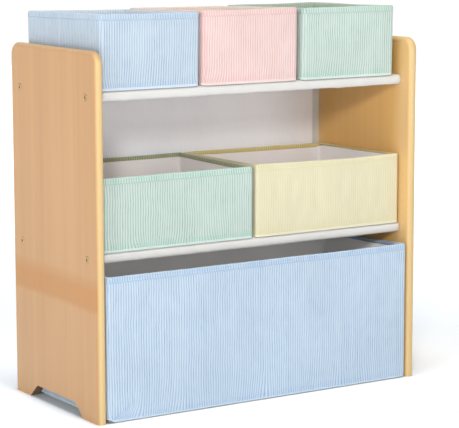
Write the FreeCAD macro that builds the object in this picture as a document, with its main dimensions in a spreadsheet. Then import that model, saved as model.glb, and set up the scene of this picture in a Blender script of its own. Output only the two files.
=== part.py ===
import FreeCAD, Part
import os
import Sketcher
from FreeCAD import Vector

# Toy storage organizer with bins: two wooden side panels joined by four
# steel rods, two fabric-covered shelves stretched over the rods, a thin back
# panel on two rear posts, and six open fabric bins with loose base inserts.
#
# Frame: X to the right, Y to the back, Z up, millimetres.
# Origin: on the floor, in the middle of the footprint.

doc = FreeCAD.newDocument("toy_storage_organizer")

# ---------------------------------------------------------------- dimensions
sheet = doc.addObject("Spreadsheet::Sheet", "Dims")
SIZES = [
    # side panels
    ("overall_width", 620.0),
    ("panel_depth", 290.0),
    ("panel_height", 585.0),
    ("panel_thick", 15.0),
    ("panel_corner", 21.0),
    ("panel_edge", 7.0),
    ("foot_rise", 22.0),
    ("foot_half_top", 66.0),
    ("foot_half_low", 91.0),
    ("foot_corner", 7.0),
    # shelves: two rods each, a board between them and a sleeve around all
    ("upper_shelf_top", 521.0),
    ("middle_shelf_top", 267.0),
    ("sleeve_outer", 8.0),
    ("sleeve_inner", 7.1),
    ("sleeve_end_gap", 0.3),
    ("rod_radius", 7.0),
    ("rod_bore", 5.8),
    ("rod_offset", 111.5),
    ("insert_thick", 13.8),
    ("insert_half_depth", 104.2),
    ("insert_end_gap", 1.0),
    # bolts and the threaded plugs in the rod ends
    ("bolt_head_radius", 6.0),
    ("bolt_head_thick", 3.1),
    ("bolt_proud", 0.5),
    ("bolt_shank_radius", 3.0),
    ("bolt_length", 29.0),
    ("bolt_socket_flat", 2.0),
    ("bolt_socket_depth", 1.9),
    ("bolt_hole_radius", 3.2),
    ("bolt_sink_radius", 6.3),
    ("plug_radius", 5.75),
    ("plug_bore", 3.05),
    ("plug_length", 22.0),
    # back panel and posts
    ("back_front_face", 120.0),
    ("back_thick", 3.0),
    ("back_half_width", 279.0),
    ("back_low", 14.0),
    ("back_top", 519.0),
    ("post_width", 30.0),
    ("post_depth", 15.0),
    ("post_low", 4.0),
    ("dowel_radius", 3.0),
    ("dowel_length", 20.0),
    ("dowel_in_panel", 9.0),
    ("dowel_low", 78.0),
    ("dowel_high", 445.0),
    # fabric bins: layers from the outside in
    ("cover_thick", 1.0),
    ("cover_corner", 2.0),
    ("layer_gap", 0.1),
    ("stiff_thick", 2.4),
    ("lining_thick", 0.6),
    ("hem_height", 10.0),
    ("hem_inner", 1.0),
    ("insert_clear", 0.8),
    ("insert_plate", 3.5),
    ("insert_gap", 0.35),
    ("bin_gap", 0.4),
    # top row
    ("small_width", 184.0),
    ("small_depth", 232.0),
    ("small_height", 118.0),
    ("small_centre_depth", -2.0),
    ("small_left_at", -198.6),
    ("small_middle_at", -10.6),
    ("small_right_at", 183.6),
    # middle row
    ("medium_width", 288.0),
    ("medium_depth", 232.0),
    ("medium_height", 118.0),
    ("medium_centre_depth", -2.0),
    ("medium_left_at", -148.4),
    ("medium_right_at", 148.0),
    # large bin on the floor
    ("large_width", 584.0),
    ("large_depth", 241.0),
    ("large_height", 233.6),
    ("large_centre_depth", -23.2),
    ("large_at", -1.2),
    ("large_low", 0.5),
]
for row, (alias, value) in enumerate(SIZES, start=1):
    sheet.set("A%d" % row, alias.replace("_", " "))
    sheet.set("B%d" % row, repr(value))
    sheet.setAlias("B%d" % row, alias)
doc.recompute()


def dim(alias):
    """Value of one named cell."""
    return float(getattr(sheet, alias))


# ------------------------------------------------------------------- helpers
SUBPARTS = []


def keep(obj, label):
    """Names a sub-part and puts it on the list of pieces."""
    obj.Label = label
    SUBPARTS.append(obj)
    return obj


def bind(obj, **expressions):
    """Binds properties of an object to expressions of the sheet's cells."""
    for prop, expression in expressions.items():
        obj.setExpression(prop.replace("__", "."), expression)


def place(obj, x=None, y=None, z=None):
    """Binds a sub-part's position."""
    if x is not None:
        obj.setExpression("Placement.Base.x", x)
    if y is not None:
        obj.setExpression("Placement.Base.y", y)
    if z is not None:
        obj.setExpression("Placement.Base.z", z)


def new_body(name):
    return doc.addObject("PartDesign::Body", name)


def origin_plane(body, role):
    for feature in body.Origin.OriginFeatures:
        if feature.Role == role:
            return feature
    raise RuntimeError("no origin plane " + role)


def new_sketch(body, name, role, offset=None):
    """Sketch on one of the body's own origin planes, lifted by an offset."""
    sketch = body.newObject("Sketcher::SketchObject", name)
    sketch.AttachmentSupport = [(origin_plane(body, role), "")]
    sketch.MapMode = "FlatFace"
    if offset is not None:
        sketch.setExpression("AttachmentOffset.Base.z", offset)
    return sketch


def add_dimension(sketch, constraint, name, expression):
    index = sketch.addConstraint(constraint)
    sketch.renameConstraint(index, name)
    sketch.setExpression("Constraints." + name, expression)


def add_rectangle(sketch, tag, half_u, half_v, u_text, v_text, at=(0.0, 0.0)):
    """Rectangle centred on the sketch's origin; its full sizes are bound."""
    cu, cv = at
    corners = [Vector(cu - half_u, cv - half_v, 0), Vector(cu + half_u, cv - half_v, 0),
               Vector(cu + half_u, cv + half_v, 0), Vector(cu - half_u, cv + half_v, 0)]
    first = sketch.GeometryCount
    sketch.addGeometry([Part.LineSegment(corners[i], corners[(i + 1) % 4]) for i in range(4)], False)
    a, b, c, d = first, first + 1, first + 2, first + 3
    sketch.addConstraint([
        Sketcher.Constraint("Coincident", a, 2, b, 1),
        Sketcher.Constraint("Coincident", b, 2, c, 1),
        Sketcher.Constraint("Coincident", c, 2, d, 1),
        Sketcher.Constraint("Coincident", d, 2, a, 1),
        Sketcher.Constraint("Horizontal", a), Sketcher.Constraint("Horizontal", c),
        Sketcher.Constraint("Vertical", b), Sketcher.Constraint("Vertical", d),
        Sketcher.Constraint("Symmetric", a, 1, b, 2, -1, 1),
    ])
    add_dimension(sketch, Sketcher.Constraint("DistanceX", a, 1, a, 2, 2 * half_u), tag + "_u", u_text)
    add_dimension(sketch, Sketcher.Constraint("DistanceY", b, 1, b, 2, 2 * half_v), tag + "_v", v_text)


def add_circle(sketch, tag, centre, radius, u_text, v_text, radius_text):
    """Circle whose centre and radius are bound to the sheet."""
    index = sketch.addGeometry(Part.Circle(Vector(centre[0], centre[1], 0), Vector(0, 0, 1), radius), False)
    if u_text is None:
        sketch.addConstraint(Sketcher.Constraint("Coincident", index, 3, -1, 1))
    else:
        add_dimension(sketch, Sketcher.Constraint("DistanceX", -1, 1, index, 3, centre[0]), tag + "_u", u_text)
        add_dimension(sketch, Sketcher.Constraint("DistanceY", -1, 1, index, 3, centre[1]), tag + "_v", v_text)
    add_dimension(sketch, Sketcher.Constraint("Radius", index, radius), tag + "_r", radius_text)
    return index


def add_slot(sketch, tag, half, radius, half_text, radius_text):
    """Racetrack outline: two half circles at +-half joined by two lines."""
    pi = 3.141592653589793
    z = Vector(0, 0, 1)
    first = sketch.GeometryCount
    right = Part.ArcOfCircle(Part.Circle(Vector(half, 0, 0), z, radius), -pi / 2, pi / 2)
    left = Part.ArcOfCircle(Part.Circle(Vector(-half, 0, 0), z, radius), pi / 2, 3 * pi / 2)
    top = Part.LineSegment(Vector(half, radius, 0), Vector(-half, radius, 0))
    low = Part.LineSegment(Vector(-half, -radius, 0), Vector(half, -radius, 0))
    sketch.addGeometry([right, top, left, low], False)
    r, t, l, b = first, first + 1, first + 2, first + 3
    sketch.addConstraint([
        Sketcher.Constraint("Tangent", r, 2, t, 1),
        Sketcher.Constraint("Tangent", t, 2, l, 1),
        Sketcher.Constraint("Tangent", l, 2, b, 1),
        Sketcher.Constraint("Tangent", b, 2, r, 1),
        Sketcher.Constraint("Symmetric", r, 3, l, 3, -1, 1),
        Sketcher.Constraint("Horizontal", t),
    ])
    add_dimension(sketch, Sketcher.Constraint("DistanceX", l, 3, r, 3, 2 * half), tag + "_u", half_text)
    add_dimension(sketch, Sketcher.Constraint("Radius", r, radius), tag + "_r", radius_text)


def add_pad(body, name, sketch, length, reverse=False):
    pad = body.newObject("PartDesign::Pad", name)
    pad.Profile = sketch
    pad.setExpression("Length", length)
    pad.Reversed = reverse
    doc.recompute()
    return pad


def add_pocket(body, name, sketch, length, reverse=False):
    """Pocket; it must take material away."""
    before = body.Shape.Volume
    pocket = body.newObject("PartDesign::Pocket", name)
    pocket.Profile = sketch
    pocket.setExpression("Length", length)
    pocket.Reversed = reverse
    doc.recompute()
    if not body.Shape.Volume < before - 1e-3:
        raise RuntimeError("pocket cuts nothing: " + body.Name + " " + name)
    return pocket


def edges_where(feature, test):
    """Names of a feature's edges that pass a test on their ends and middle."""
    names = []
    for index, edge in enumerate(feature.Shape.Edges, start=1):
        ends = [v.Point for v in edge.Vertexes]
        middle = edge.valueAt(0.5 * (edge.FirstParameter + edge.LastParameter))
        if test(ends, middle):
            names.append("Edge%d" % index)
    if not names:
        raise RuntimeError("no edges found on " + feature.Name)
    return names


def add_fillet(body, name, base, names, radius):
    fillet = body.newObject("PartDesign::Fillet", name)
    fillet.Base = (base, names)
    fillet.setExpression("Radius", radius)
    doc.recompute()
    return fillet


def near(a, b, tol=1e-4):
    return abs(a - b) < tol


# --------------------------------------------------------------- side panels
def side_panel(label, outer_low, x_text):
    """Panel with rounded top corners, round long edges, a trapezoid foot
    cut-out, four counterbored bolt holes and two blind dowel holes."""
    deep, high, thick = dim("panel_depth"), dim("panel_height"), dim("panel_thick")
    body = new_body(label)

    outline = new_sketch(body, label + "_outline", "YZ_Plane")
    p = [Vector(-deep / 2, 0, 0), Vector(deep / 2, 0, 0), Vector(deep / 2, high, 0), Vector(-deep / 2, high, 0)]
    outline.addGeometry([Part.LineSegment(p[i], p[(i + 1) % 4]) for i in range(4)], False)
    outline.addConstraint([
        Sketcher.Constraint("Coincident", 0, 2, 1, 1), Sketcher.Constraint("Coincident", 1, 2, 2, 1),
        Sketcher.Constraint("Coincident", 2, 2, 3, 1), Sketcher.Constraint("Coincident", 3, 2, 0, 1),
        Sketcher.Constraint("Vertical", 1), Sketcher.Constraint("Vertical", 3),
        Sketcher.Constraint("Horizontal", 2),
        Sketcher.Constraint("Symmetric", 0, 1, 0, 2, -1, 1),
        Sketcher.Constraint("Horizontal", 0),
    ])
    outline.delConstraint(8)
    add_dimension(outline, Sketcher.Constraint("DistanceX", 0, 1, 0, 2, deep), "deep", "Dims.panel_depth")
    add_dimension(outline, Sketcher.Constraint("DistanceY", 1, 1, 1, 2, high), "high", "Dims.panel_height")
    slab = add_pad(body, label + "_slab", outline, "Dims.panel_thick")

    corners = edges_where(slab, lambda e, m: len(e) == 2 and near(e[0].y, e[1].y) and near(e[0].z, high)
                          and near(e[1].z, high) and near(abs(e[0].y), deep / 2))
    round_top = add_fillet(body, label + "_top_corners", slab, corners, "Dims.panel_corner")

    cut = new_sketch(body, label + "_foot", "YZ_Plane")
    ht, hl, rise = dim("foot_half_top"), dim("foot_half_low"), dim("foot_rise")
    q = [Vector(-hl, 0, 0), Vector(hl, 0, 0), Vector(ht, rise, 0), Vector(-ht, rise, 0)]
    cut.addGeometry([Part.LineSegment(q[i], q[(i + 1) % 4]) for i in range(4)], False)
    cut.addConstraint([
        Sketcher.Constraint("Coincident", 0, 2, 1, 1), Sketcher.Constraint("Coincident", 1, 2, 2, 1),
        Sketcher.Constraint("Coincident", 2, 2, 3, 1), Sketcher.Constraint("Coincident", 3, 2, 0, 1),
        Sketcher.Constraint("Symmetric", 0, 1, 0, 2, -1, 1),
        Sketcher.Constraint("Symmetric", 2, 1, 2, 2, -2),
    ])
    add_dimension(cut, Sketcher.Constraint("DistanceX", 0, 1, 0, 2, 2 * hl), "low", "2 * Dims.foot_half_low")
    add_dimension(cut, Sketcher.Constraint("DistanceX", 2, 2, 2, 1, 2 * ht), "top", "2 * Dims.foot_half_top")
    add_dimension(cut, Sketcher.Constraint("DistanceY", -1, 1, 2, 1, rise), "rise", "Dims.foot_rise")
    foot = add_pocket(body, label + "_foot_cut", cut, "Dims.panel_thick", reverse=True)
    arch = edges_where(foot, lambda e, m: len(e) == 2 and near(e[0].y, e[1].y) and near(e[0].z, rise)
                       and near(e[1].z, rise))
    arch_round = add_fillet(body, label + "_foot_corners", foot, arch, "Dims.foot_corner")

    # round nose along the front, the top and the back, on both faces
    nose = edges_where(arch_round, lambda e, m: near(e[0].x, e[-1].x)
                       and (near(abs(m.y), deep / 2) or near(m.z, high)
                            or (m.z > high - dim("panel_corner") and abs(m.y) > deep / 2 - dim("panel_corner"))))
    add_fillet(body, label + "_round_edges", arch_round, nose, "Dims.panel_edge")

    # bolt holes, at the rod axes
    rod_y = dim("rod_offset")
    levels = [("upper", dim("upper_shelf_top") - dim("sleeve_outer"), "Dims.upper_shelf_top - Dims.sleeve_outer"),
              ("middle", dim("middle_shelf_top") - dim("sleeve_outer"), "Dims.middle_shelf_top - Dims.sleeve_outer")]
    through = new_sketch(body, label + "_bolt_holes", "YZ_Plane")
    for name, z, z_text in levels:
        for side, sign in (("front", -1.0), ("rear", 1.0)):
            add_circle(through, name + "_" + side, (sign * rod_y, z), dim("bolt_hole_radius"),
                       "%g * Dims.rod_offset" % sign, z_text, "Dims.bolt_hole_radius")
    add_pocket(body, label + "_bolt_bores", through, "Dims.panel_thick", reverse=True)

    sink = new_sketch(body, label + "_bolt_sinks", "YZ_Plane", None if outer_low else "Dims.panel_thick")
    for name, z, z_text in levels:
        for side, sign in (("front", -1.0), ("rear", 1.0)):
            add_circle(sink, name + "_" + side, (sign * rod_y, z), dim("bolt_sink_radius"),
                       "%g * Dims.rod_offset" % sign, z_text, "Dims.bolt_sink_radius")
    add_pocket(body, label + "_bolt_counterbores", sink, "Dims.bolt_head_thick - Dims.bolt_proud",
               reverse=outer_low)

    # blind dowel holes for the rear post, in the inner face
    dowels = new_sketch(body, label + "_dowel_holes", "YZ_Plane", "Dims.panel_thick" if outer_low else None)
    post_y = "Dims.back_front_face + Dims.back_thick + Dims.post_depth / 2"
    y = dim("back_front_face") + dim("back_thick") + dim("post_depth") / 2
    for name in ("low", "high"):
        add_circle(dowels, name, (y, dim("dowel_" + name)), dim("dowel_radius"),
                   post_y, "Dims.dowel_" + name, "Dims.dowel_radius")
    add_pocket(body, label + "_dowel_bores", dowels, "Dims.dowel_in_panel", reverse=not outer_low)

    place(body, x=x_text)
    return keep(body, label)


side_panel("left_side_panel", True, "-Dims.overall_width / 2")
side_panel("right_side_panel", False, "Dims.overall_width / 2 - Dims.panel_thick")


# ---------------------------------------------------------------------- rods
INNER = "(Dims.overall_width / 2 - Dims.panel_thick)"


def shelf_rod(label, sign, top_alias):
    """Steel tube between the side panels."""
    body = new_body(label)
    ring = new_sketch(body, label + "_ring", "YZ_Plane")
    add_circle(ring, "outer", (0, 0), dim("rod_radius"), None, None, "Dims.rod_radius")
    add_circle(ring, "bore", (0, 0), dim("rod_bore"), None, None, "Dims.rod_bore")
    add_pad(body, label + "_tube", ring, "2 * " + INNER)
    place(body, "-" + INNER, "%g * Dims.rod_offset" % sign, "Dims.%s - Dims.sleeve_outer" % top_alias)
    return keep(body, label)


for shelf, alias in (("top_shelf", "upper_shelf_top"), ("middle_shelf", "middle_shelf_top")):
    shelf_rod(shelf + "_front_rod", -1.0, alias)
    shelf_rod(shelf + "_rear_rod", 1.0, alias)


# ------------------------------------------------- shelf sleeves and inserts
def shelf_sleeve(label, top_alias):
    """Fabric tube stretched over the two rods of a shelf."""
    body = new_body(label)
    loop = new_sketch(body, label + "_loop", "YZ_Plane")
    add_slot(loop, "outer", dim("rod_offset"), dim("sleeve_outer"), "2 * Dims.rod_offset", "Dims.sleeve_outer")
    add_slot(loop, "inner", dim("rod_offset"), dim("sleeve_inner"), "2 * Dims.rod_offset", "Dims.sleeve_inner")
    add_pad(body, label + "_fabric", loop, "2 * " + INNER + " - 2 * Dims.sleeve_end_gap")
    place(body, "-" + INNER + " + Dims.sleeve_end_gap", "0", "Dims.%s - Dims.sleeve_outer" % top_alias)
    return keep(body, label)


def shelf_insert(label, top_alias):
    """Stiff board inside the sleeve, between the two rods."""
    body = new_body(label)
    outline = new_sketch(body, label + "_outline", "YZ_Plane")
    add_rectangle(outline, "board", dim("insert_half_depth"), dim("insert_thick") / 2,
                  "2 * Dims.insert_half_depth", "Dims.insert_thick")
    add_pad(body, label + "_board", outline, "2 * " + INNER + " - 2 * Dims.insert_end_gap")
    place(body, "-" + INNER + " + Dims.insert_end_gap", "0", "Dims.%s - Dims.sleeve_outer" % top_alias)
    return keep(body, label)


for shelf, alias in (("top_shelf", "upper_shelf_top"), ("middle_shelf", "middle_shelf_top")):
    shelf_sleeve(shelf + "_sleeve", alias)
    shelf_insert(shelf + "_insert_board", alias)


# ------------------------------------------------------------ back and posts
back = doc.addObject("Part::Box", "back_panel")
bind(back, Length="2 * Dims.back_half_width", Width="Dims.back_thick", Height="Dims.back_top - Dims.back_low")
place(back, "-Dims.back_half_width", "Dims.back_front_face", "Dims.back_low")
keep(back, "back_panel")


def back_post(label, left):
    """Batten in a rear corner, with two blind dowel holes in its outer side."""
    body = new_body(label)
    section = new_sketch(body, label + "_section", "XY_Plane")
    add_rectangle(section, "batten", dim("post_width") / 2, dim("post_depth") / 2,
                  "Dims.post_width", "Dims.post_depth")
    add_pad(body, label + "_batten", section, "Dims.back_top - Dims.post_low")
    holes = new_sketch(body, label + "_holes", "YZ_Plane",
                       "-Dims.post_width / 2" if left else "Dims.post_width / 2")
    for name in ("low", "high"):
        add_circle(holes, name, (0.0, dim("dowel_" + name) - dim("post_low")), dim("dowel_radius"),
                   "0", "Dims.dowel_%s - Dims.post_low" % name, "Dims.dowel_radius")
    add_pocket(body, label + "_bores", holes, "Dims.dowel_length - Dims.dowel_in_panel", reverse=left)
    sign = "-" if left else ""
    place(body, sign + "(" + INNER + " - Dims.post_width / 2)",
          "Dims.back_front_face + Dims.back_thick + Dims.post_depth / 2", "Dims.post_low")
    return keep(body, label)


back_post("back_post_left", True)
back_post("back_post_right", False)


# ------------------------------------------------- groups of equal fasteners
def group(label, makers):
    """One node of separate equal solids."""
    compound = doc.addObject("Part::Compound", label)
    compound.Links = makers
    return keep(compound, label)


def cylinder_along_x(name, radius, length, x, y, z):
    """Plain pin with its axis along X, its low end at x."""
    pin = doc.addObject("Part::Cylinder", name)
    bind(pin, Radius=radius, Height=length)
    pin.Placement = FreeCAD.Placement(Vector(0, 0, 0), FreeCAD.Rotation(Vector(0, 1, 0), 90))
    place(pin, x, y, z)
    return pin


POST_Y = "Dims.back_front_face + Dims.back_thick + Dims.post_depth / 2"
pins = []
for level in ("low", "high"):
    pins.append(cylinder_along_x("dowel_left_" + level, "Dims.dowel_radius", "Dims.dowel_length",
                                 "-" + INNER + " - Dims.dowel_in_panel", POST_Y, "Dims.dowel_" + level))
    pins.append(cylinder_along_x("dowel_right_" + level, "Dims.dowel_radius", "Dims.dowel_length",
                                 INNER + " + Dims.dowel_in_panel - Dims.dowel_length", POST_Y, "Dims.dowel_" + level))
group("post_dowels", pins)


CORNERS = [(side, end, top) for side in (-1.0, 1.0) for end in (-1.0, 1.0)
           for top in ("upper_shelf_top", "middle_shelf_top")]


def rod_plug(number, side, end, top):
    """Threaded plug in a rod's end."""
    outer = cylinder_along_x("plug_%d_body" % number, "Dims.plug_radius", "Dims.plug_length",
                             ("-" + INNER) if side < 0 else (INNER + " - Dims.plug_length"),
                             "%g * Dims.rod_offset" % end, "Dims.%s - Dims.sleeve_outer" % top)
    bore = cylinder_along_x("plug_%d_bore" % number, "Dims.plug_bore", "Dims.plug_length + 2",
                            ("-" + INNER + " - 1") if side < 0 else (INNER + " - Dims.plug_length - 1"),
                            "%g * Dims.rod_offset" % end, "Dims.%s - Dims.sleeve_outer" % top)
    plug = doc.addObject("Part::Cut", "plug_%d" % number)
    plug.Base = outer
    plug.Tool = bore
    return plug


group("rod_end_plugs", [rod_plug(i, *c) for i, c in enumerate(CORNERS)])


def bolt_master():
    """Flat-head bolt along +X, its head's outer face at x = 0."""
    body = new_body("bolt_master")
    rh, rs = dim("bolt_head_radius"), dim("bolt_shank_radius")
    th, tl = dim("bolt_head_thick"), dim("bolt_length")
    half = new_sketch(body, "bolt_half", "XY_Plane")
    pts = [Vector(0, 0, 0), Vector(tl, 0, 0), Vector(tl, rs, 0), Vector(th, rs, 0), Vector(th, rh, 0), Vector(0, rh, 0)]
    half.addGeometry([Part.LineSegment(pts[i], pts[(i + 1) % 6]) for i in range(6)], False)
    cons = [Sketcher.Constraint("Coincident", i, 2, (i + 1) % 6, 1) for i in range(6)]
    cons += [Sketcher.Constraint("Coincident", 0, 1, -1, 1), Sketcher.Constraint("Horizontal", 0),
             Sketcher.Constraint("Vertical", 1), Sketcher.Constraint("Horizontal", 2),
             Sketcher.Constraint("Vertical", 3), Sketcher.Constraint("Horizontal", 4),
             Sketcher.Constraint("Vertical", 5)]
    half.addConstraint(cons)
    add_dimension(half, Sketcher.Constraint("DistanceX", 0, 1, 0, 2, tl), "length", "Dims.bolt_length")
    add_dimension(half, Sketcher.Constraint("DistanceX", 4, 2, 4, 1, th), "head", "Dims.bolt_head_thick")
    add_dimension(half, Sketcher.Constraint("DistanceY", 1, 1, 1, 2, rs), "shank", "Dims.bolt_shank_radius")
    add_dimension(half, Sketcher.Constraint("DistanceY", 5, 2, 5, 1, rh), "rim", "Dims.bolt_head_radius")
    turn = body.newObject("PartDesign::Revolution", "bolt_turn")
    turn.Profile = half
    turn.ReferenceAxis = (half, ["H_Axis"])
    turn.Angle = 360
    doc.recompute()
    rim = edges_where(turn, lambda e, m: near(m.x, 0.0, 1e-3) and near((m.y ** 2 + m.z ** 2) ** 0.5, rh, 1e-2))
    edge = body.newObject("PartDesign::Fillet", "bolt_rim")
    edge.Base = (turn, rim)
    edge.Radius = 0.8
    doc.recompute()
    # hexagon socket
    import math
    flat = dim("bolt_socket_flat")
    key = new_sketch(body, "bolt_key", "YZ_Plane")
    rad = flat / math.cos(math.pi / 6)
    hexa = [Vector(rad * math.cos(math.pi / 3 * i), rad * math.sin(math.pi / 3 * i), 0) for i in range(6)]
    key.addGeometry([Part.LineSegment(hexa[i], hexa[(i + 1) % 6]) for i in range(6)], False)
    guide = key.addGeometry(Part.Circle(Vector(0, 0, 0), Vector(0, 0, 1), rad), True)
    cons = [Sketcher.Constraint("Coincident", i, 2, (i + 1) % 6, 1) for i in range(6)]
    cons += [Sketcher.Constraint("PointOnObject", i, 1, guide) for i in range(6)]
    cons += [Sketcher.Constraint("Equal", 0, i) for i in range(1, 6)]
    cons += [Sketcher.Constraint("Coincident", guide, 3, -1, 1), Sketcher.Constraint("PointOnObject", 0, 1, -1)]
    key.addConstraint(cons)
    add_dimension(key, Sketcher.Constraint("Radius", guide, rad), "corner", "Dims.bolt_socket_flat / 0.8660254")
    add_pocket(body, "bolt_socket", key, "Dims.bolt_socket_depth", reverse=True)
    return body


bolt = bolt_master()
HEADS = "(Dims.overall_width / 2 + Dims.bolt_proud)"
bolts = []
for i, (side, end, top) in enumerate(CORNERS):
    link = doc.addObject("App::Link", "bolt_%d" % i)
    link.LinkedObject = bolt
    if side > 0:
        link.Placement = FreeCAD.Placement(Vector(0, 0, 0), FreeCAD.Rotation(Vector(0, 0, 1), 180))
    place(link, ("-" if side < 0 else "") + HEADS, "%g * Dims.rod_offset" % end,
          "Dims.%s - Dims.sleeve_outer" % top)
    bolts.append(link)
group("assembly_bolts", bolts)


# ---------------------------------------------------------------------- bins
WALL_IN = "(Dims.cover_thick + Dims.layer_gap + Dims.stiff_thick + Dims.layer_gap)"


def bin_cover(label, w, d, h, x, y, z):
    """Ribbed fabric wall with its top hem folded over the wall boards."""
    body = new_body(label)
    W, D, H = dim(w), dim(d), dim(h)
    t, hem, lip = dim("cover_thick"), dim("hem_height"), dim("hem_inner")
    wall_in = t + 2 * dim("layer_gap") + dim("stiff_thick")
    outline = new_sketch(body, label + "_outline", "XY_Plane")
    add_rectangle(outline, "outer", W / 2, D / 2, "Dims." + w, "Dims." + d)
    block = add_pad(body, label + "_block", outline, "Dims." + h)
    uprights = edges_where(block, lambda e, m: len(e) == 2 and near(e[0].x, e[1].x) and near(e[0].y, e[1].y))
    add_fillet(body, label + "_corners", block, uprights, "Dims.cover_corner")
    inside = new_sketch(body, label + "_inside", "XY_Plane")
    add_rectangle(inside, "inner", W / 2 - t, D / 2 - t, "Dims.%s - 2 * Dims.cover_thick" % w,
                  "Dims.%s - 2 * Dims.cover_thick" % d)
    add_pocket(body, label + "_inside_cut", inside, "Dims.%s - Dims.hem_height" % h, reverse=True)
    fold = new_sketch(body, label + "_fold", "XY_Plane", "Dims.%s - Dims.hem_height" % h)
    m = wall_in + lip
    add_rectangle(fold, "wall", W / 2 - t, D / 2 - t, "Dims.%s - 2 * Dims.cover_thick" % w,
                  "Dims.%s - 2 * Dims.cover_thick" % d)
    add_rectangle(fold, "lip", W / 2 - wall_in, D / 2 - wall_in, "Dims.%s - 2 * %s" % (w, WALL_IN),
                  "Dims.%s - 2 * %s" % (d, WALL_IN))
    add_pocket(body, label + "_fold_cut", fold, "Dims.hem_height - Dims.cover_thick", reverse=True)
    mouth = new_sketch(body, label + "_mouth", "XY_Plane", "Dims.%s" % h)
    add_rectangle(mouth, "mouth", W / 2 - m, D / 2 - m, "Dims.%s - 2 * (%s + Dims.hem_inner)" % (w, WALL_IN),
                  "Dims.%s - 2 * (%s + Dims.hem_inner)" % (d, WALL_IN))
    add_pocket(body, label + "_mouth_cut", mouth, "Dims.hem_height + 1")
    place(body, x, y, z)
    return keep(body, label)


def boxed(name, length, width, height, x, y, z):
    box = doc.addObject("Part::Box", name)
    bind(box, Length=length, Width=width, Height=height)
    place(box, x, y, z)
    return box


def bin_boards(label, w, d, h, x, y, z):
    """Four stiff wall boards sewn in between the cover and the lining."""
    s = "(Dims.cover_thick + Dims.layer_gap)"
    low = "Dims.cover_thick + 0.1"
    tall = "Dims.%s - 2 * Dims.cover_thick - 0.2" % h
    parts = []
    for name, sign in (("front", -1), ("rear", 1)):
        yy = ("-Dims.%s / 2 + %s" % (d, s)) if sign < 0 else ("Dims.%s / 2 - %s - Dims.stiff_thick" % (d, s))
        parts.append(boxed(label + "_" + name, "Dims.%s - 2 * %s" % (w, s), "Dims.stiff_thick", tall,
                           "-Dims.%s / 2 + %s" % (w, s), yy, low))
    for name, sign in (("left", -1), ("right", 1)):
        xx = ("-Dims.%s / 2 + %s" % (w, s)) if sign < 0 else ("Dims.%s / 2 - %s - Dims.stiff_thick" % (w, s))
        parts.append(boxed(label + "_" + name, "Dims.stiff_thick",
                           "Dims.%s - 2 * %s - 2 * Dims.stiff_thick - 0.2" % (d, s), tall,
                           xx, "-Dims.%s / 2 + %s + Dims.stiff_thick + 0.1" % (d, s), low))
    node = group(label, parts)
    place(node, x, y, z)
    return node


def bin_bottom(label, w, d, x, y, z):
    """Flat fabric bottom, sewn to the cover's lower edge."""
    body = new_body(label)
    outline = new_sketch(body, label + "_outline", "XY_Plane")
    cut = dim("cover_thick") + dim("layer_gap")
    add_rectangle(outline, "outer", dim(w) / 2 - cut, dim(d) / 2 - cut,
                  "Dims.%s - 2 * (Dims.cover_thick + Dims.layer_gap)" % w,
                  "Dims.%s - 2 * (Dims.cover_thick + Dims.layer_gap)" % d)
    add_pad(body, label + "_sheet", outline, "Dims.cover_thick")
    place(body, x, y, z)
    return keep(body, label)


def bin_lining(label, w, d, h, x, y, z):
    """Thin inner bag, from the bottom up to the hem's inner edge."""
    body = new_body(label)
    wall_in = dim("cover_thick") + 2 * dim("layer_gap") + dim("stiff_thick")
    t = dim("lining_thick")
    outline = new_sketch(body, label + "_outline", "XY_Plane")
    add_rectangle(outline, "outer", dim(w) / 2 - wall_in, dim(d) / 2 - wall_in,
                  "Dims.%s - 2 * %s" % (w, WALL_IN), "Dims.%s - 2 * %s" % (d, WALL_IN))
    add_pad(body, label + "_block", outline,
            "Dims.%s - Dims.hem_height - Dims.cover_thick - 2 * Dims.layer_gap" % h)
    inside = new_sketch(body, label + "_inside", "XY_Plane", "Dims.lining_thick")
    add_rectangle(inside, "inner", dim(w) / 2 - wall_in - t, dim(d) / 2 - wall_in - t,
                  "Dims.%s - 2 * (%s + Dims.lining_thick)" % (w, WALL_IN),
                  "Dims.%s - 2 * (%s + Dims.lining_thick)" % (d, WALL_IN))
    add_pocket(body, label + "_inside_cut", inside, "Dims.%s" % h, reverse=True)
    place(body, x, y, z + " + Dims.cover_thick + Dims.layer_gap")
    return keep(body, label)


def bin_insert(label, w, d, x, y, z):
    """Loose covered board that lies on the bottom of the bin."""
    edge = "(%s + Dims.hem_inner + Dims.insert_clear)" % WALL_IN
    cut = dim("cover_thick") + 2 * dim("layer_gap") + dim("stiff_thick") + dim("hem_inner") + dim("insert_clear")
    body = new_body(label)
    outline = new_sketch(body, label + "_outline", "XY_Plane")
    add_rectangle(outline, "outer", dim(w) / 2 - cut, dim(d) / 2 - cut,
                  "Dims.%s - 2 * %s" % (w, edge), "Dims.%s - 2 * %s" % (d, edge))
    plate = add_pad(body, label + "_plate", outline, "Dims.insert_plate")
    uprights = edges_where(plate, lambda e, m: len(e) == 2 and near(e[0].x, e[1].x) and near(e[0].y, e[1].y))
    add_fillet(body, label + "_corners", plate, uprights, "Dims.cover_corner")
    place(body, x, y, z + " + Dims.cover_thick + Dims.layer_gap + Dims.lining_thick + Dims.insert_gap")
    return keep(body, label)


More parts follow.
